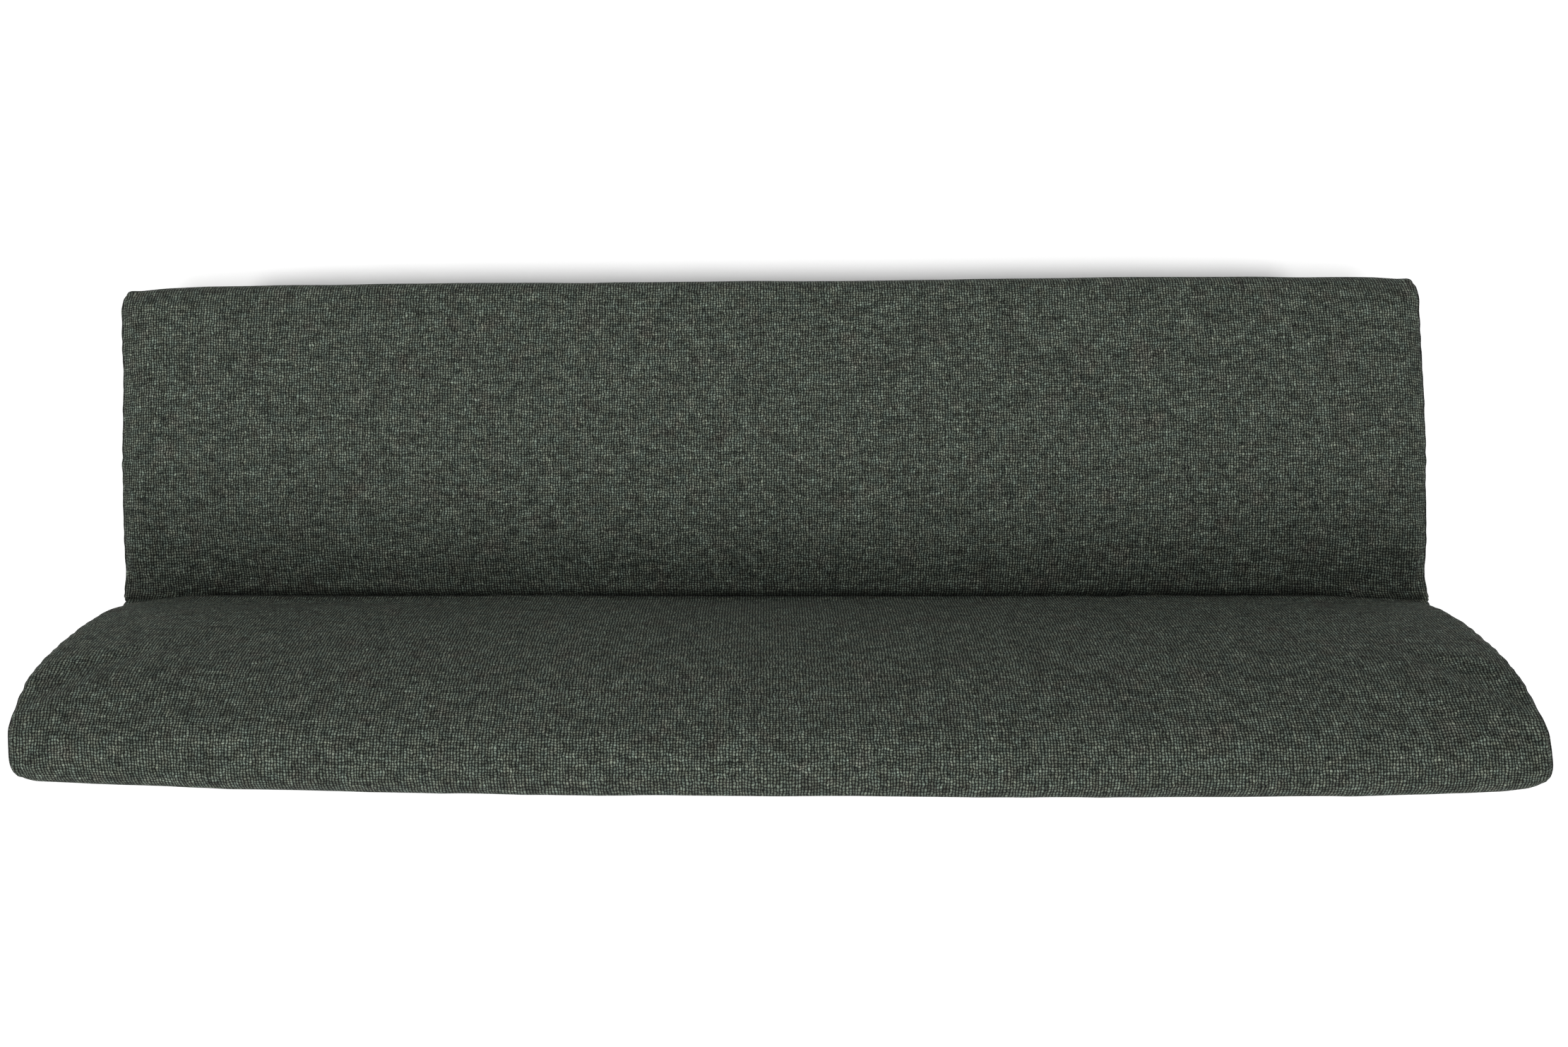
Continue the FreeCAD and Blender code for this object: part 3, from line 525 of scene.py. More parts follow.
def surface_tree(*nodes):
    """Ray-cast tree of the surfaces of these CAD nodes."""
    points, faces = [], []
    for name in nodes:
        mesh = frame["nodes"][name].data
        base = len(points)
        points += [v.co.copy() for v in mesh.vertices]
        faces += [[base + i for i in face.vertices] for face in mesh.polygons]
    return BVHTree.FromPolygons(points, faces)


def outer_section(tree, x, heart):
    """(y, z) of the outer surface at x, from front to rear over the top, seen from the heart."""
    found = []
    centre = Vector((x, *heart))
    for turn in np.linspace(RAY_MARGIN, math.pi - RAY_MARGIN, RAY_COUNT):
        outward = Vector((0, -math.cos(turn), math.sin(turn)))
        hit = tree.ray_cast(centre + outward * RAY_REACH, -outward, RAY_REACH)[0]
        if hit is not None:
            found.append((hit.y, hit.z))
    return np.array(found)


def led_down(points, level):
    """The section with its last points, in the crease, replaced by a straight run to the level."""
    top = int(np.argmax(points[:, 1]))
    rear = points[top:]
    kept = np.vstack([points[:top], rear[rear[:, 1] > FLAP_LEVEL]])
    y, z = kept[-1]
    foot = (y - (z - level) * math.tan(BACK_LEAN), level)
    return np.vstack([kept, [foot]])


def spaced(points, count):
    """The section again as that many points, evenly spaced along it, and its length."""
    steps = np.linalg.norm(np.diff(points, axis=0), axis=1)
    along = np.concatenate([[0.0], np.cumsum(steps)])
    wanted = np.linspace(0.0, along[-1], count)
    return np.column_stack([np.interp(wanted, along, points[:, k]) for k in (0, 1)]), along[-1]


def station_places(half_width):
    """Places along X from end to end, closer together at the sewn ends."""
    straight = half_width - END_ROUND
    inner = straight - SEAM_STEPS[-1]
    count = round(2 * inner / STATION_STEP)
    middle = list(np.linspace(-inner, inner, count + 1))
    beside = [straight - step for step in reversed(SEAM_STEPS[:-1])]
    turns = [math.pi / 2 * k / END_STEPS for k in range(END_STEPS + 1)]
    rounded = [straight + END_ROUND * END_INSIDE * math.sin(turn) for turn in turns]
    outer = beside + rounded
    return np.array([-x for x in reversed(outer)] + middle + outer)


def seam_gap(x, half_width):
    """Distance across the rounded end from the seam to a station: below 0 on the main panel."""
    straight = half_width - END_ROUND
    past = abs(x) - straight
    if past < 0:
        return past - END_ROUND * math.pi / 4
    return END_ROUND * (math.asin(min(past / END_ROUND, 1.0)) - math.pi / 4)


# Upholstery meshes


class Upholstery:
    """Grid of sections along X with both end panels, in one mesh that knows its seams."""

    def __init__(self, name, xs, sections, lengths, spine):
        self.name = name
        self.count = sections.shape[1]
        self.points, self.gaps, self.runs, self.cloth = [], [], [], []
        self.faces, self.corners = [], []
        half_width = abs(xs[-1])
        for x, section, length in zip(xs, sections, lengths):
            along = np.linspace(-0.5, 0.5, self.count) * length
            for (y, z), run in zip(section, along):
                self.add_point((x, y, z), seam_gap(x, half_width), run)
                self.cloth.append((x, run))
        for row in range(len(xs) - 1):
            self.join(row, row + 1, self.cloth)
        for row, x in ((0, xs[0]), (len(xs) - 1, xs[-1])):
            self.end_panel(row, x, sections[row], spine)

    def add_point(self, place, gap, run):
        self.points.append(place)
        self.gaps.append(gap)
        self.runs.append(run)

    def join(self, row, other, cloth, flip=False):
        """Quads between two rows of points, with their place on the cloth."""
        for k in range(self.count - 1):
            first, second = row * self.count + k, other * self.count + k
            quad = [first, second, second + 1, first + 1]
            if flip:
                quad.reverse()
            self.faces.append(quad)
            self.corners += [cloth[corner] for corner in quad]

    def end_panel(self, row, x, section, spine):
        """Rings from the end's edge in to the spine, on cloth of their own."""
        target = spine(section)
        depth = np.linalg.norm(target - section, axis=1)
        shares = [s / RING_UNIT for s in SEAM_STEPS] + list(np.linspace(*INNER_RINGS))
        edge_gap = END_ROUND * math.pi / 4
        cloth = {row * self.count + k: tuple(p) for k, p in enumerate(section)}
        last = row
        for share in shares:
            ring = section + (target - section) * share
            fresh = len(self.points) // self.count
            for k, (y, z) in enumerate(ring):
                cloth[len(self.points)] = (y, z)
                self.add_point((x, y, z), edge_gap + depth[k] * share, self.runs[row * self.count + k])
            self.join(last, fresh, cloth, flip=x < 0)
            last = fresh

    def build(self):
        """The mesh as an object, with seam attributes and a weave layer, doubled points merged."""
        mesh = bpy.data.meshes.new(self.name)
        mesh.from_pydata(self.points, [], self.faces)
        layer = mesh.uv_layers.new(name="weave")
        layer.data.foreach_set("uv", np.array(self.corners, np.float32).ravel())
        for key, numbers in (("seam_gap", self.gaps), ("seam_run", self.runs)):
            attribute = mesh.attributes.new(key, "FLOAT", "POINT")
            attribute.data.foreach_set("value", np.array(numbers, np.float32))
        body = bmesh.new()
        body.from_mesh(mesh)
        bmesh.ops.remove_doubles(body, verts=body.verts, dist=1e-5)
        body.to_mesh(mesh)
        body.free()
        piece = bpy.data.objects.new(self.name, mesh)
        bpy.context.scene.collection.objects.link(piece)
        return piece


def places(mesh):
    """The vertices of a mesh as an array."""
    co = np.empty(len(mesh.vertices) * 3)
    mesh.vertices.foreach_get("co", co)
    return co.reshape(-1, 3)


def set_places(mesh, co):
    mesh.vertices.foreach_set("co", co.ravel())
    mesh.update()


def normals(mesh):
    co = np.empty(len(mesh.vertices) * 3)
    mesh.vertices.foreach_get("normal", co)
    return co.reshape(-1, 3)


def values(mesh, name):
    """A point attribute as an array."""
    found = np.empty(len(mesh.vertices), np.float32)
    mesh.attributes[name].data.foreach_get("value", found)
    return found.astype(float)


def swell(piece, held):
    """Fill the cover by a short cloth simulation, held at its seams and at the frame."""
    mesh = piece.data
    drawn = places(mesh)
    mesh.update()
    set_places(mesh, drawn - normals(mesh) * (START_INSET * (1 - held))[:, None])
    group = piece.vertex_groups.new(name="held")
    for index, weight in enumerate(held):
        group.add([index], float(weight), "REPLACE")
    cloth = piece.modifiers.new("filling", "CLOTH")
    for key, value in CLOTH_SETTINGS.items():
        setattr(cloth.settings, key, value)
    cloth.settings.vertex_group_mass = group.name
    cloth.settings.effector_weights.gravity = 0
    cloth.collision_settings.use_collision = False
    scene = bpy.context.scene
    for number in range(1, CLOTH_FRAMES + 1):
        scene.frame_set(number)
    filled = piece.evaluated_get(bpy.context.evaluated_depsgraph_get())
    moved = places(filled.data) - drawn
    piece.modifiers.remove(cloth)
    piece.vertex_groups.remove(group)
    scene.frame_set(1)
    set_places(mesh, drawn)
    outward = normals(mesh)
    out = (moved * outward).sum(axis=1)
    moved += outward * (np.clip(out, -SINK_LIMIT, SWELL_LIMIT) - out)[:, None]
    reach = np.linalg.norm(moved, axis=1, keepdims=True)
    moved *= np.minimum(1.0, SWELL_LIMIT / np.maximum(reach, 1e-9))
    set_places(mesh, drawn + moved)


def turn_under(piece, level):
    """Fold the cover's lower edge under the frame."""
    body = bmesh.new()
    body.from_mesh(piece.data)
    body.normal_update()
    catch = level + HEM_CATCH
    edges = [e for e in body.edges if e.is_boundary and max(v.co.z for v in e.verts) < catch]
    for inward in (HEM_ROUND, HEM_WIDTH):
        rim = [v for e in edges for v in e.verts]
        directions = {v: Vector((-v.normal.x, -v.normal.y, 0)).normalized() for v in rim}
        made = bmesh.ops.extrude_edge_only(body, edges=edges)["geom"]
        fresh = [g for g in made if isinstance(g, bmesh.types.BMVert)]
        old = {v: min(directions, key=lambda o: (o.co - v.co).length_squared) for v in fresh}
        for vertex in fresh:
            vertex.co += directions[old[vertex]] * inward
            vertex.co.z = level
        edges = [g for g in made if isinstance(g, bmesh.types.BMEdge)]
    body.to_mesh(piece.data)
    body.free()


def subdivide(piece):
    """One level of subdivision, applied."""
    piece.modifiers.new("smooth", "SUBSURF").levels = 1
    shape = piece.evaluated_get(bpy.context.evaluated_depsgraph_get())
    mesh = bpy.data.meshes.new_from_object(shape)
    piece.modifiers.clear()
    piece.data = mesh
    mesh.name = piece.name
    mesh.shade_smooth()


def ripple(run, pitch, seed):
    """Smooth uneven wave along a line, between about -1 and 1."""
    phases = np.random.default_rng(seed).uniform(0, 2 * math.pi, len(RIPPLE_RATES))
    turns = 2 * math.pi * run / pitch
    waves = [np.sin(turns * rate + phase) for rate, phase in zip(RIPPLE_RATES, phases)]
    return sum(waves) / RIPPLE_PEAK


def sew(piece, seed):
    """Draw the seams in, with small puckers beside them, and give the padding a slight unevenness."""
    mesh = piece.data
    co = places(mesh)
    gap = values(mesh, "seam_gap")
    run = values(mesh, "seam_run")
    groove = -SEAM_DEPTH * np.exp(-((gap / SEAM_WIDTH) ** 2))
    pucker = PUCKER_DEPTH * np.exp(-np.abs(gap) / PUCKER_REACH)
    pucker *= ripple(run + PUCKER_SLANT * gap, PUCKER_PITCH, seed)
    lumps = ripple(co[:, 0] + LUMP_SLANTS[0] * run, LUMP_PITCHES[0], seed + 1)
    lumps *= ripple(run - LUMP_SLANTS[1] * co[:, 0], LUMP_PITCHES[1], seed + 2)
    set_places(mesh, co + normals(mesh) * (groove + pucker + LUMP_DEPTH * lumps)[:, None])


def step(value):
    """Smooth step from 0 to 1."""
    share = np.clip(value, 0, 1)
    return share * share * (3 - 2 * share)


def grows(value, run):
    """Smooth step from 0, at the run's start, to 1 at its end; the run is (start, length)."""
    return step((value - run[0]) / run[1])


def read(table, place):
    """Moves at these places, between those of the table."""
    keys, moves = zip(*table)
    return np.interp(place, keys, moves)


def settle(piece, right_by_y, left_by_y, inward_level):
    """Give a cover the slightly uneven shape that its filling leaves, fading out at the hem."""
    mesh = piece.data
    co = places(mesh)
    x, y, z = co.T.copy()
    height = step((z - HEM_LEVEL) / HEM_FADE)
    front = grows(-y, FRONT_RUN)
    rear = grows(y, REAR_RUN) * grows(z, REAR_RISE)
    side = grows(np.abs(x), END_RUN) * height
    co[:, 1] += height * (read(REAR_BY_X, x) * rear - read(FRONT_BY_X, x) * front)
    outward = np.where(x < 0, read(right_by_y, y), read(left_by_y, y))
    outward = np.where(outward < 0, outward * step((z - inward_level) / INWARD_FADE), outward)
    co[:, 0] += np.sign(x) * side * outward
    set_places(mesh, co)


def shape_corners(piece, past, outward, corner):
    """Round or sharpen the upright corners where the ends meet a face, fading in with height."""
    co = places(piece.data)
    radius = corner["radius"]
    end = np.abs(co[:, 0]) - HALF_WIDTH + radius
    face = past + radius
    inside = (end > 0) & (face > 0)
    reach = np.maximum(np.hypot(end, face), 1e-9)
    height = step((co[:, 2] - corner["level"]) / corner["fade"])
    move = (1 - np.maximum(end, face) / reach) * height * inside
    co[:, 0] -= np.sign(co[:, 0]) * end * move * corner["end"]
    co[:, 1] -= outward * face * move * corner["face"]
    set_places(piece.data, co)


def shape_back(piece):
    """Soft rear corners and uneven filling of the back, for its cover and its outside panel alike."""
    shape_corners(piece, joint_distance(places(piece.data)) - BACK_REAR, 1.0, BACK_CORNER)
    settle(piece, BACK_RIGHT_BY_Y, BACK_LEFT_BY_Y, BACK_INWARD_LEVEL)


def tuck(piece):
    """Draw the seat cover down into the crease, with a small hollow at one end of it."""
    co = places(piece.data)
    reach = np.hypot(co[:, 0] - TUCK_PLACE[0], co[:, 1] - TUCK_PLACE[1]) / TUCK_REACH
    groove = np.minimum(joint_distance(co), 0) / GROOVE_REACH
    inside = 1 - grows(np.abs(co[:, 0]), GROOVE_ENDS)
    drop = TUCK_DEPTH * np.exp(-reach * reach) + GROOVE_DEPTH * np.exp(-groove * groove) * inside
    drawn = step((co[:, 2] - FLAP_LEVEL) / FLAP_FADE)
    co[:, 2] -= drop * drawn
    corner = grows(np.abs(co[:, 0]), CORNER_RUN)
    co[:, 1] += (CREASE_REACH + CORNER_REACH * corner) * grows(co[:, 1], CREASE_RUN) * drawn
    set_places(piece.data, co)


def dress_piece(piece, material):
    """Material and body of a piece that belongs to the bench."""
    piece.data.materials.clear()
    piece.data.materials.append(material)
    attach(piece, "bench")


def bottom_spine(section):
    """Line along the foot of an end panel that its rings close on."""
    share = np.linspace(0.0, 1.0, len(section))
    front, rear = section[0], section[-1]
    inset = SPINE_INSET * (rear[0] - front[0])
    y = front[0] + inset + share * (rear[0] - front[0] - 2 * inset)
    return np.column_stack([y, front[1] + share * (rear[1] - front[1])])


def middle_spine(section):
    """Line up the middle of a tall end panel that its rings close on."""
    middle = (section + section[::-1]) / 2
    top = len(section) // 2 - round(SPINE_TOP / PROFILE_STEP)
    for k in range(top, len(section) - top):
        middle[k] = middle[top]
    return middle


def sections_of(nodes, xs, crease_last):
    """Evenly spaced sections of a cover at each station, and their lengths."""
    tree = surface_tree(*nodes)
    boxes = [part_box(node) for node in nodes]
    front = min(low.y for low, _ in boxes)
    rear = max(high.y for _, high in boxes) if crease_last else BACK_FOOT_REAR
    heart = ((front + rear) / 2, HEM_LEVEL)
    raw = []
    for x in xs:
        section = outer_section(tree, x, heart)
        section[:, 1] = np.maximum(section[:, 1], HEM_LEVEL + HEM_ROUND)
        level = HEM_LEVEL + HEM_ROUND
        raw.append(led_down(section, level) if crease_last else led_down(section[::-1], level)[::-1])
    middle = raw[len(raw) // 2]
    length = np.linalg.norm(np.diff(middle, axis=0), axis=1).sum()
    count = 2 * round(length / PROFILE_STEP / 2) + 1
    pairs = [spaced(section, count) for section in raw]
    return np.array([p for p, _ in pairs]), [length for _, length in pairs]


def hold_weights(piece, hidden):
    """How firmly each point is held: fully at the hem and where hidden, partly at the seams."""
    mesh = piece.data
    co = places(mesh)
    gap = values(mesh, "seam_gap")
    held = SEAM_HOLD * np.exp(-((gap / HELD_SEAM) ** 2))
    held[co[:, 2] < HEM_LEVEL + HELD_HEM] = 1.0
    held[hidden(co)] = 1.0
    return held


def joint_distance(co):
    """Distance of points behind the plane in which seat and back meet, along Y."""
    return co[:, 1] - (CREASE_Y + (co[:, 2] - CREASE_Z) * math.tan(BACK_LEAN))


def seat_hidden(co):
    """The points of the seat cover that lie down in the crease."""
    return (joint_distance(co) > -HIDDEN_REACH) & (co[:, 2] < CREASE_Z - SEAT_HIDDEN_DROP)


def back_hidden(co):
    """The points of the back cover that lie down in the crease or under the outside panel."""
    away = joint_distance(co)
    panel_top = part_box("outside_back_panel")[1].z
    in_crease = (away < HIDDEN_REACH) & (co[:, 2] < CREASE_Z - BACK_HIDDEN_DROP)
    return in_crease | ((away > REAR_FACE) & (co[:, 2] < panel_top + PANEL_HIDDEN_RISE))


def make_seat(material):
    """Seat cover over its foam: front, crowned top and end panels."""
    half_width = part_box("seat_cover")[1].x
    xs = station_places(half_width)
    sections, lengths = sections_of(["seat_cover"], xs, crease_last=True)
    piece = Upholstery("seat_upholstery", xs, sections, lengths, bottom_spine).build()
    swell(piece, hold_weights(piece, seat_hidden))
    turn_under(piece, HEM_LEVEL)
    subdivide(piece)
    sew(piece, SEAT_SEED)
    shape_corners(piece, -places(piece.data)[:, 1] - SEAT_FRONT, -1.0, SEAT_CORNER)
    settle(piece, SEAT_RIGHT_BY_Y, SEAT_LEFT_BY_Y, SEAT_INWARD_LEVEL)
    tuck(piece)
    dress_piece(piece, material)
    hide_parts("seat_cover", "seat_foam")
    return piece


def bulge_back(xs, sections):
    """Fill the back's face out over the crease, and its shoulder below the rolled top."""
    for x, section in zip(xs, sections):
        above = (section[:, 1] - CREASE_Z) / math.cos(BACK_LEAN)
        facing = np.arange(len(section)) < len(section) // 2
        rise = np.clip((above + BULGE_ROOT) / (BULGE_ROOT + BULGE_HEIGHT), 0, 1)
        share = np.sin(rise * math.pi / 2) * (1 - step((above - BULGE_HEIGHT) / BULGE_FADE)) * facing
        depth = BULGE_DEPTH + BULGE_WAVE * float(ripple(np.array(x), BULGE_PITCH, BULGE_SEED))
        section[:, 0] -= depth * share * math.cos(BACK_LEAN)
        section[:, 1] += depth * share * math.sin(BACK_LEAN)
        run = np.gradient(section, axis=0)
        out = np.column_stack([-run[:, 1], run[:, 0]]) / np.linalg.norm(run, axis=1)[:, None]
        fill = np.exp(-(((section[:, 1] - SHOULDER_LEVEL) / SHOULDER_SPREAD) ** 2)) * facing
        section += out * (SHOULDER_DEPTH * fill)[:, None]


def make_back(material):
    """Back cover over its foam: face, rolled top, rear and end panels."""
    half_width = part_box("back_cover")[1].x
    xs = station_places(half_width)
    sections, lengths = sections_of(["back_cover", "outside_back_panel"], xs, crease_last=False)
    bulge_back(xs, sections)
    piece = Upholstery("back_upholstery", xs, sections, lengths, middle_spine).build()
    swell(piece, hold_weights(piece, back_hidden))
    turn_under(piece, HEM_LEVEL)
    subdivide(piece)
    sew(piece, BACK_SEED)
    shape_back(piece)
    dress_piece(piece, material)
    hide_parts("back_cover", "back_foam")
    return piece


# Sheets


def grid_object(name, rows):
    """Object of quads over rows of points, with the cloth's own coordinates from the row lengths."""
    rows = np.array(rows)
    count = rows.shape[1]
    points = rows.reshape(-1, 3)
    faces = []
    for row in range(len(rows) - 1):
        for column in range(count - 1):
            first = row * count + column
            faces.append((first, first + 1, first + count + 1, first + count))
    mesh = bpy.data.meshes.new(name)
    mesh.from_pydata([tuple(p) for p in points], [], faces)
    climb = np.linalg.norm(np.diff(rows[:, count // 2], axis=0), axis=1)
    along = np.concatenate([[0.0], np.cumsum(climb)])
    layer = mesh.uv_layers.new(name="weave")
    corners = [(points[k][0], along[k // count]) for face in faces for k in face]
    layer.data.foreach_set("uv", np.array(corners, np.float32).ravel())
    mesh.shade_smooth()
    piece = bpy.data.objects.new(name, mesh)
    bpy.context.scene.collection.objects.link(piece)
    return piece


def edge_steps(low, high, pitch):
    """Places from low to high, closer together at both ends."""
    inner = np.linspace(low + FINE_ZONE, high - FINE_ZONE, max(2, round((high - low) / pitch)))
    first = [low + fine for fine in FINE_STEPS]
    last = [high - fine for fine in reversed(FINE_STEPS)]
    return np.array(first + list(inner) + last)


def make_outside_back(material):
    """Fabric panel stretched over the rear of the back, its edges turned in and sewn down."""
    low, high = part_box("outside_back_panel")
    tree = surface_tree("outside_back_panel")
    across, up = PANEL_MARGIN
    xs = edge_steps(low.x + across, high.x - across, PANEL_STEP)
    zs = edge_steps(low.z + up, high.z - up, PANEL_STEP)
    middle = (low.z + high.z) / 2
    faces = [tree.ray_cast(Vector((x, RAY_REACH, middle)), Vector((0, -1, 0)))[0].y for x in xs]
    rows = []
    for z in zs:
        row = []
        for x, face in zip(xs, faces):
            side, top = min(x - low.x, high.x - x), high.z - z
            edge = min(side, top)
            roll = PANEL_RISE * math.sqrt(max(0.0, 1 - (1 - min(edge / PANEL_ROLL, 1.0)) ** 2))
            run = np.array(x if top < side else z)
            wave = float(ripple(run, PANEL_PULL_PITCH, PANEL_SEED))
            pull = PANEL_PULL * math.exp(-edge / PANEL_PULL_REACH) * wave
            row.append((x, face + (z - middle) * math.tan(BACK_LEAN) + PANEL_SINK + roll + pull, z))
        rows.append(row)
    first = np.array(rows[0])
    under = []
    for inward in PANEL_FOLD:
        turned = first.copy()
        turned[:, 1] -= inward
        turned[:, 2] = HEM_LEVEL - PANEL_FOLD_DROP
        under.append(turned)
    piece = grid_object("outside_back", under + [np.array(r) for r in rows])
    shape_back(piece)
    thicken = piece.modifiers.new("thickness", "SOLIDIFY")
    thicken.thickness = PANEL_THICKNESS
    thicken.offset = 1.0
    dress_piece(piece, material)
    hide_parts("outside_back_panel")
    return piece


def cut_holes(mesh, centres, level):
    """Cut a round hole for each leg into a level cloth."""
    body = bmesh.new()
    body.from_mesh(mesh)
    for cx, cy in centres:
        away = {v: math.hypot(v.co.x - cx, v.co.y - cy) for v in body.verts}
        inside = [v for v in body.verts if away[v] < LEG_HOLE - LEG_HOLE_CUT]
        kept = {v: reach for v, reach in away.items() if reach >= LEG_HOLE - LEG_HOLE_CUT}
        bmesh.ops.delete(body, geom=inside, context="VERTS")
        rim = [v for v, reach in kept.items() if v.is_boundary and reach < LEG_HOLE + LEG_HOLE_RIM]
        for vertex in rim:
            out = Vector((vertex.co.x - cx, vertex.co.y - cy, 0)).normalized() * LEG_HOLE
            vertex.co = Vector((cx + out.x, cy + out.y, level))
    body.to_mesh(mesh)
    body.free()


def make_dust_cover(material):
    """Thin cloth stapled under the frame, cut round the legs, with a little slack between rails."""
    low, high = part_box("dust_cover")
    legs = [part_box(name) for name in frame["nodes"] if name.startswith(("leg_front", "leg_rear_"))]
    centres = [((a.x + b.x) / 2, (a.y + b.y) / 2) for a, b in legs]
    xs = np.linspace(low.x, high.x, round((high.x - low.x) / DUST_STEP) + 1)
    ys = np.linspace(low.y, high.y, round((high.y - low.y) / DUST_STEP) + 1)
    level = (low.z + high.z) / 2
    rows = []
    for y in ys:
        row = []
        for x in xs:
            inward = min(x - low.x, high.x - x, y - low.y, high.y - y)
            slack = DUST_SLACK * min(1.0, max(0.0, inward - DUST_SLACK_RUN[0]) / DUST_SLACK_RUN[1])
            run = np.array(x + DUST_WAVE_SLANT * y)
            wave = DUST_WAVE * float(ripple(run, DUST_WAVE_PITCH, DUST_SEED))
            row.append((x, y, level - slack * (1 + wave)))
        rows.append(row)
    piece = grid_object("dust_cover_cloth", rows)
    cut_holes(piece.data, centres, level)
    piece.data.shade_smooth()
    thicken = piece.modifiers.new("thickness", "SOLIDIFY")
    thicken.thickness = DUST_THICKNESS
    thicken.offset = 0.0
    dress_piece(piece, material)
    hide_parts("dust_cover")
    return piece


def staple(points, faces, place, across):
    """Flat wire staple: a low bridge with both legs going up into the wood."""
    side = Vector((0, 0, 1)).cross(across)
    base = len(points)
    for along, rise in STAPLE_LINE:
        leg = abs(along) >= STAPLE_LEG
        for offset, thick in STAPLE_RING:
            inset = STAPLE_WIRE * thick * (1 if leg else 0)
            lift = 0.0 if leg else STAPLE_WIRE * thick
            reach = along * STAPLE_CROWN - math.copysign(inset, along)
            corner = place + across * reach + side * (offset * STAPLE_WIDTH)
            points.append(corner + Vector((0, 0, rise + lift)))
    for ring in range(len(STAPLE_LINE) - 1):
        for k in range(4):
            a, b = base + ring * 4 + k, base + ring * 4 + (k + 1) % 4
            faces.append((a, a + 4, b + 4, b))
    faces.append((base, base + 1, base + 2, base + 3))
    end = base + (len(STAPLE_LINE) - 1) * 4
    faces.append((end + 3, end + 2, end + 1, end))


def shoot(points, faces, place, turn, play):
    """One staple near the place, turned and moved a little at random."""
    swing = turn + random.uniform(-STAPLE_SWING, STAPLE_SWING)
    across = Vector((math.cos(swing), math.sin(swing), 0))
    slip = random.uniform(-play[0], play[0])
    shift = random.uniform(-play[1], play[1])
    staple(points, faces, place + Vector((slip, shift, 0)), across)


def make_staples(material):
    """Staples along the edges of the dust cover, a little uneven as a gun leaves them."""
    low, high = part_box("dust_cover")
    points, faces = [], []
    z = low.z - STAPLE_SINK
    for y in (low.y + STAPLE_EDGE, high.y - STAPLE_EDGE):
        for x in np.arange(low.x + STAPLE_ENDS_X[0], high.x - STAPLE_ENDS_X[1], STAPLE_PITCH):
            shoot(points, faces, Vector((x, y, z)), 0.0, (STAPLE_SLIP, STAPLE_SHIFT))
    for x in (low.x + STAPLE_EDGE, high.x - STAPLE_EDGE):
        for y in np.arange(low.y + STAPLE_ENDS_Y[0], high.y - STAPLE_ENDS_Y[1], STAPLE_PITCH):
            shoot(points, faces, Vector((x, y, z)), math.pi / 2, (STAPLE_SHIFT, STAPLE_SLIP))
    mesh = bpy.data.meshes.new("dust_cover_staples")
    mesh.from_pydata([tuple(p) for p in points], [], faces)
    piece = bpy.data.objects.new("dust_cover_staples", mesh)
    bpy.context.scene.collection.objects.link(piece)
    dress_piece(piece, material)
    return piece


# Finish of the CAD pieces


def finish_nodes(materials):
    """Give every CAD node the material of its slot in the record."""
    for row in frame["record"]["subparts"]:
        node = frame["nodes"][row["node"]]
        material = materials[row["material_slot"]]
        if not node.data.materials:
            node.data.materials.append(material)
        for slot in node.material_slots:
            slot.material = material


def make_materials():
    """One material for each slot of the record."""
    return {
        "upholstery": weave(),
        "foam": soft_filling("foam_cells", rgb(0.55, 0.47, 0.27), rgb(0.74, 0.66, 0.43), 900.0),
        "wadding": soft_filling("wadding_fibres", rgb(0.62, 0.62, 0.6), rgb(0.85, 0.85, 0.83), 300.0),
        "felt": soft_filling("felt_fibres", rgb(0.11, 0.1, 0.09), rgb(0.24, 0.22, 0.2), 500.0),
        "dust_cloth": dust_cloth(),
        "webbing": webbing(),
        "hardboard": timber(
            "hardboard_fibres", (9, 9, 9), rgb(0.09, 0.05, 0.025), rgb(0.19, 0.11, 0.06), 0.7
        ),
        "frame_wood": timber(
            "frame_timber", (1, 12, 12), rgb(0.33, 0.2, 0.1), rgb(0.55, 0.38, 0.21), 0.6
        ),
        "leg_wood": timber(
            "leg_timber", (14, 14, 0.9), rgb(0.012, 0.006, 0.003), rgb(0.05, 0.024, 0.011), 0.42, 0.35
        ),
        "spring_steel": metal("spring_wire", rgb(0.12, 0.12, 0.125), rgb(0.24, 0.24, 0.245), 0.45),
        "zinc_steel": metal("zinc_plate", rgb(0.5, 0.5, 0.49), rgb(0.68, 0.68, 0.67), 0.32),
        "nylon": nylon(),
    }


# Stage


def make_floor():
    mesh = bpy.data.meshes.new("floor")
    corners = [(-1, -1), (1, -1), (1, 1), (-1, 1)]
    mesh.from_pydata([(x * FLOOR_REACH, y * FLOOR_REACH, 0) for x, y in corners], [], [(0, 1, 2, 3)])
    floor = bpy.data.objects.new("floor", mesh)
    bpy.context.scene.collection.objects.link(floor)
    mesh.materials.append(floor_paint())
    return floor


def light_only(light, lit):
    """Let a light fall on the objects given and on nothing else."""
    bpy.context.scene.collection.objects.link(light)
    receivers = bpy.data.collections.new(light.name)
    for piece in lit:
        receivers.objects.link(piece)
    light.light_linking.receiver_collection = receivers


def add_sun(name, lit, rear, side, spread, strength):
    """Soft distant light."""
    lamp = bpy.data.lights.new(name, "SUN")
    lamp.angle = math.radians(spread)
    lamp.energy = strength
    light = bpy.data.objects.new(name, lamp)
    source = Vector((-math.tan(math.radians(side)), math.tan(math.radians(rear)), 1))
    light.rotation_euler = (-source).to_track_quat("-Z", "Y").to_euler()
    light_only(light, lit)


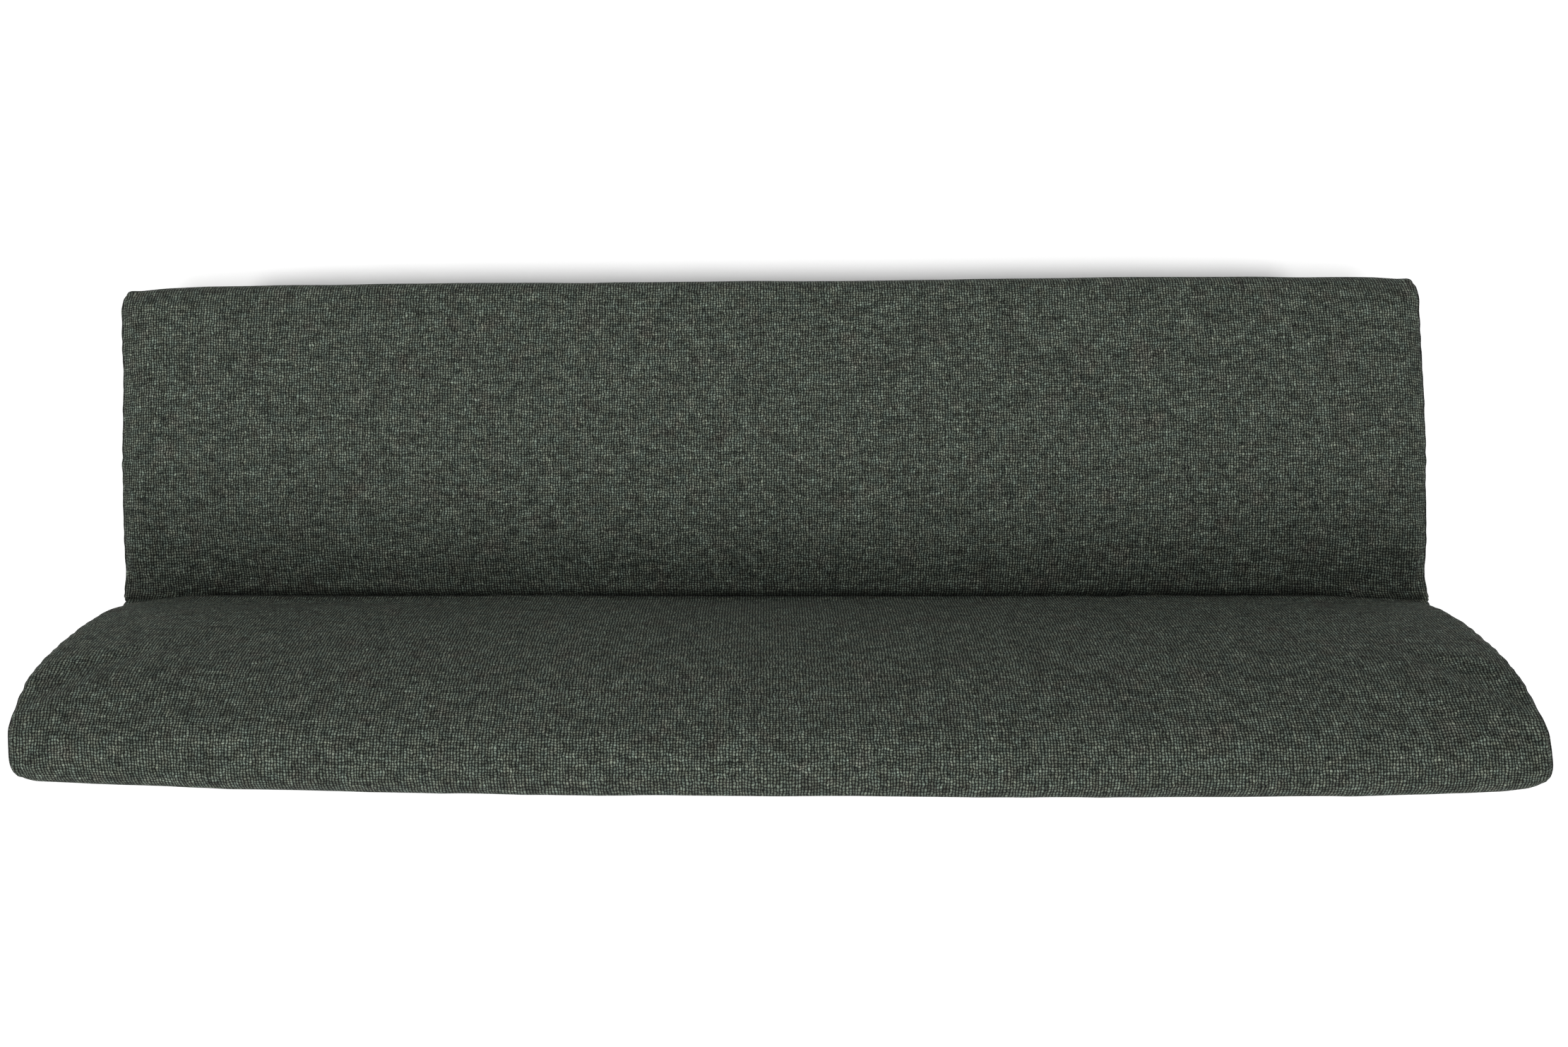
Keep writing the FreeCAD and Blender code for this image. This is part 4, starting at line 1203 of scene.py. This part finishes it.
def add_softbox(name, lit):
    """Square soft light above one end of the bench."""
    lamp = bpy.data.lights.new(name, "AREA")
    lamp.size = SOFTBOX_SIZE
    lamp.energy = SOFTBOX_POWER
    light = bpy.data.objects.new(name, lamp)
    light.location = SOFTBOX_PLACE
    aim = Vector(SOFTBOX_TARGET) - Vector(SOFTBOX_PLACE)
    light.rotation_euler = aim.to_track_quat("-Z", "Y").to_euler()
    light_only(light, lit)


def make_world():
    world = bpy.data.worlds.new("studio")
    world.use_nodes = True
    nodes, links = world.node_tree.nodes, world.node_tree.links
    background = nodes["Background"]
    background.inputs["Color"].default_value = rgb(1.0, 1.0, 1.0)
    direction = nodes.new("ShaderNodeSeparateXYZ")
    links.new(nodes.new("ShaderNodeTexCoord").outputs["Generated"], direction.inputs[0])
    fade = nodes.new("ShaderNodeMapRange")
    links.new(direction.outputs["Z"], fade.inputs[0])
    for socket, value in zip(fade.inputs[1:5], (*HORIZON_BAND, HORIZON_LIGHT, AMBIENT)):
        socket.default_value = value
    links.new(fade.outputs[0], background.inputs["Strength"])
    bpy.context.scene.world = world


def make_camera():
    lens = bpy.data.cameras.new("camera")
    lens.sensor_fit = "HORIZONTAL"
    lens.sensor_width = SENSOR_WIDTH
    lens.lens = FOCAL_PIXELS / IMAGE_WIDTH * SENSOR_WIDTH
    lens.shift_x, lens.shift_y = (shift / IMAGE_WIDTH for shift in CENTRE_SHIFT)
    lens.dof.use_dof = False
    camera = bpy.data.objects.new("camera", lens)
    camera.location = CAMERA_PLACE
    camera.rotation_euler = CAMERA_TURN
    bpy.context.scene.collection.objects.link(camera)
    bpy.context.scene.camera = camera


def main():
    materials = make_materials()
    finish_nodes(materials)
    make_seat(materials["upholstery"])
    make_back(materials["upholstery"])
    make_outside_back(materials["upholstery"])
    make_dust_cover(materials["dust_cloth"])
    make_staples(materials["zinc_steel"])
    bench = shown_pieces()
    floor = make_floor()
    make_world()
    add_sun("floor_sun_left", [floor], **FLOOR_SUN_LEFT)
    add_sun("floor_sun_right", [floor], **FLOOR_SUN_RIGHT)
    add_sun("bench_key", bench, **BENCH_KEY)
    add_softbox("bench_softbox", bench)
    add_sun("bench_front", bench, **BENCH_FRONT)
    make_camera()
    bpy.context.scene.view_settings.view_transform = "Standard"


main()
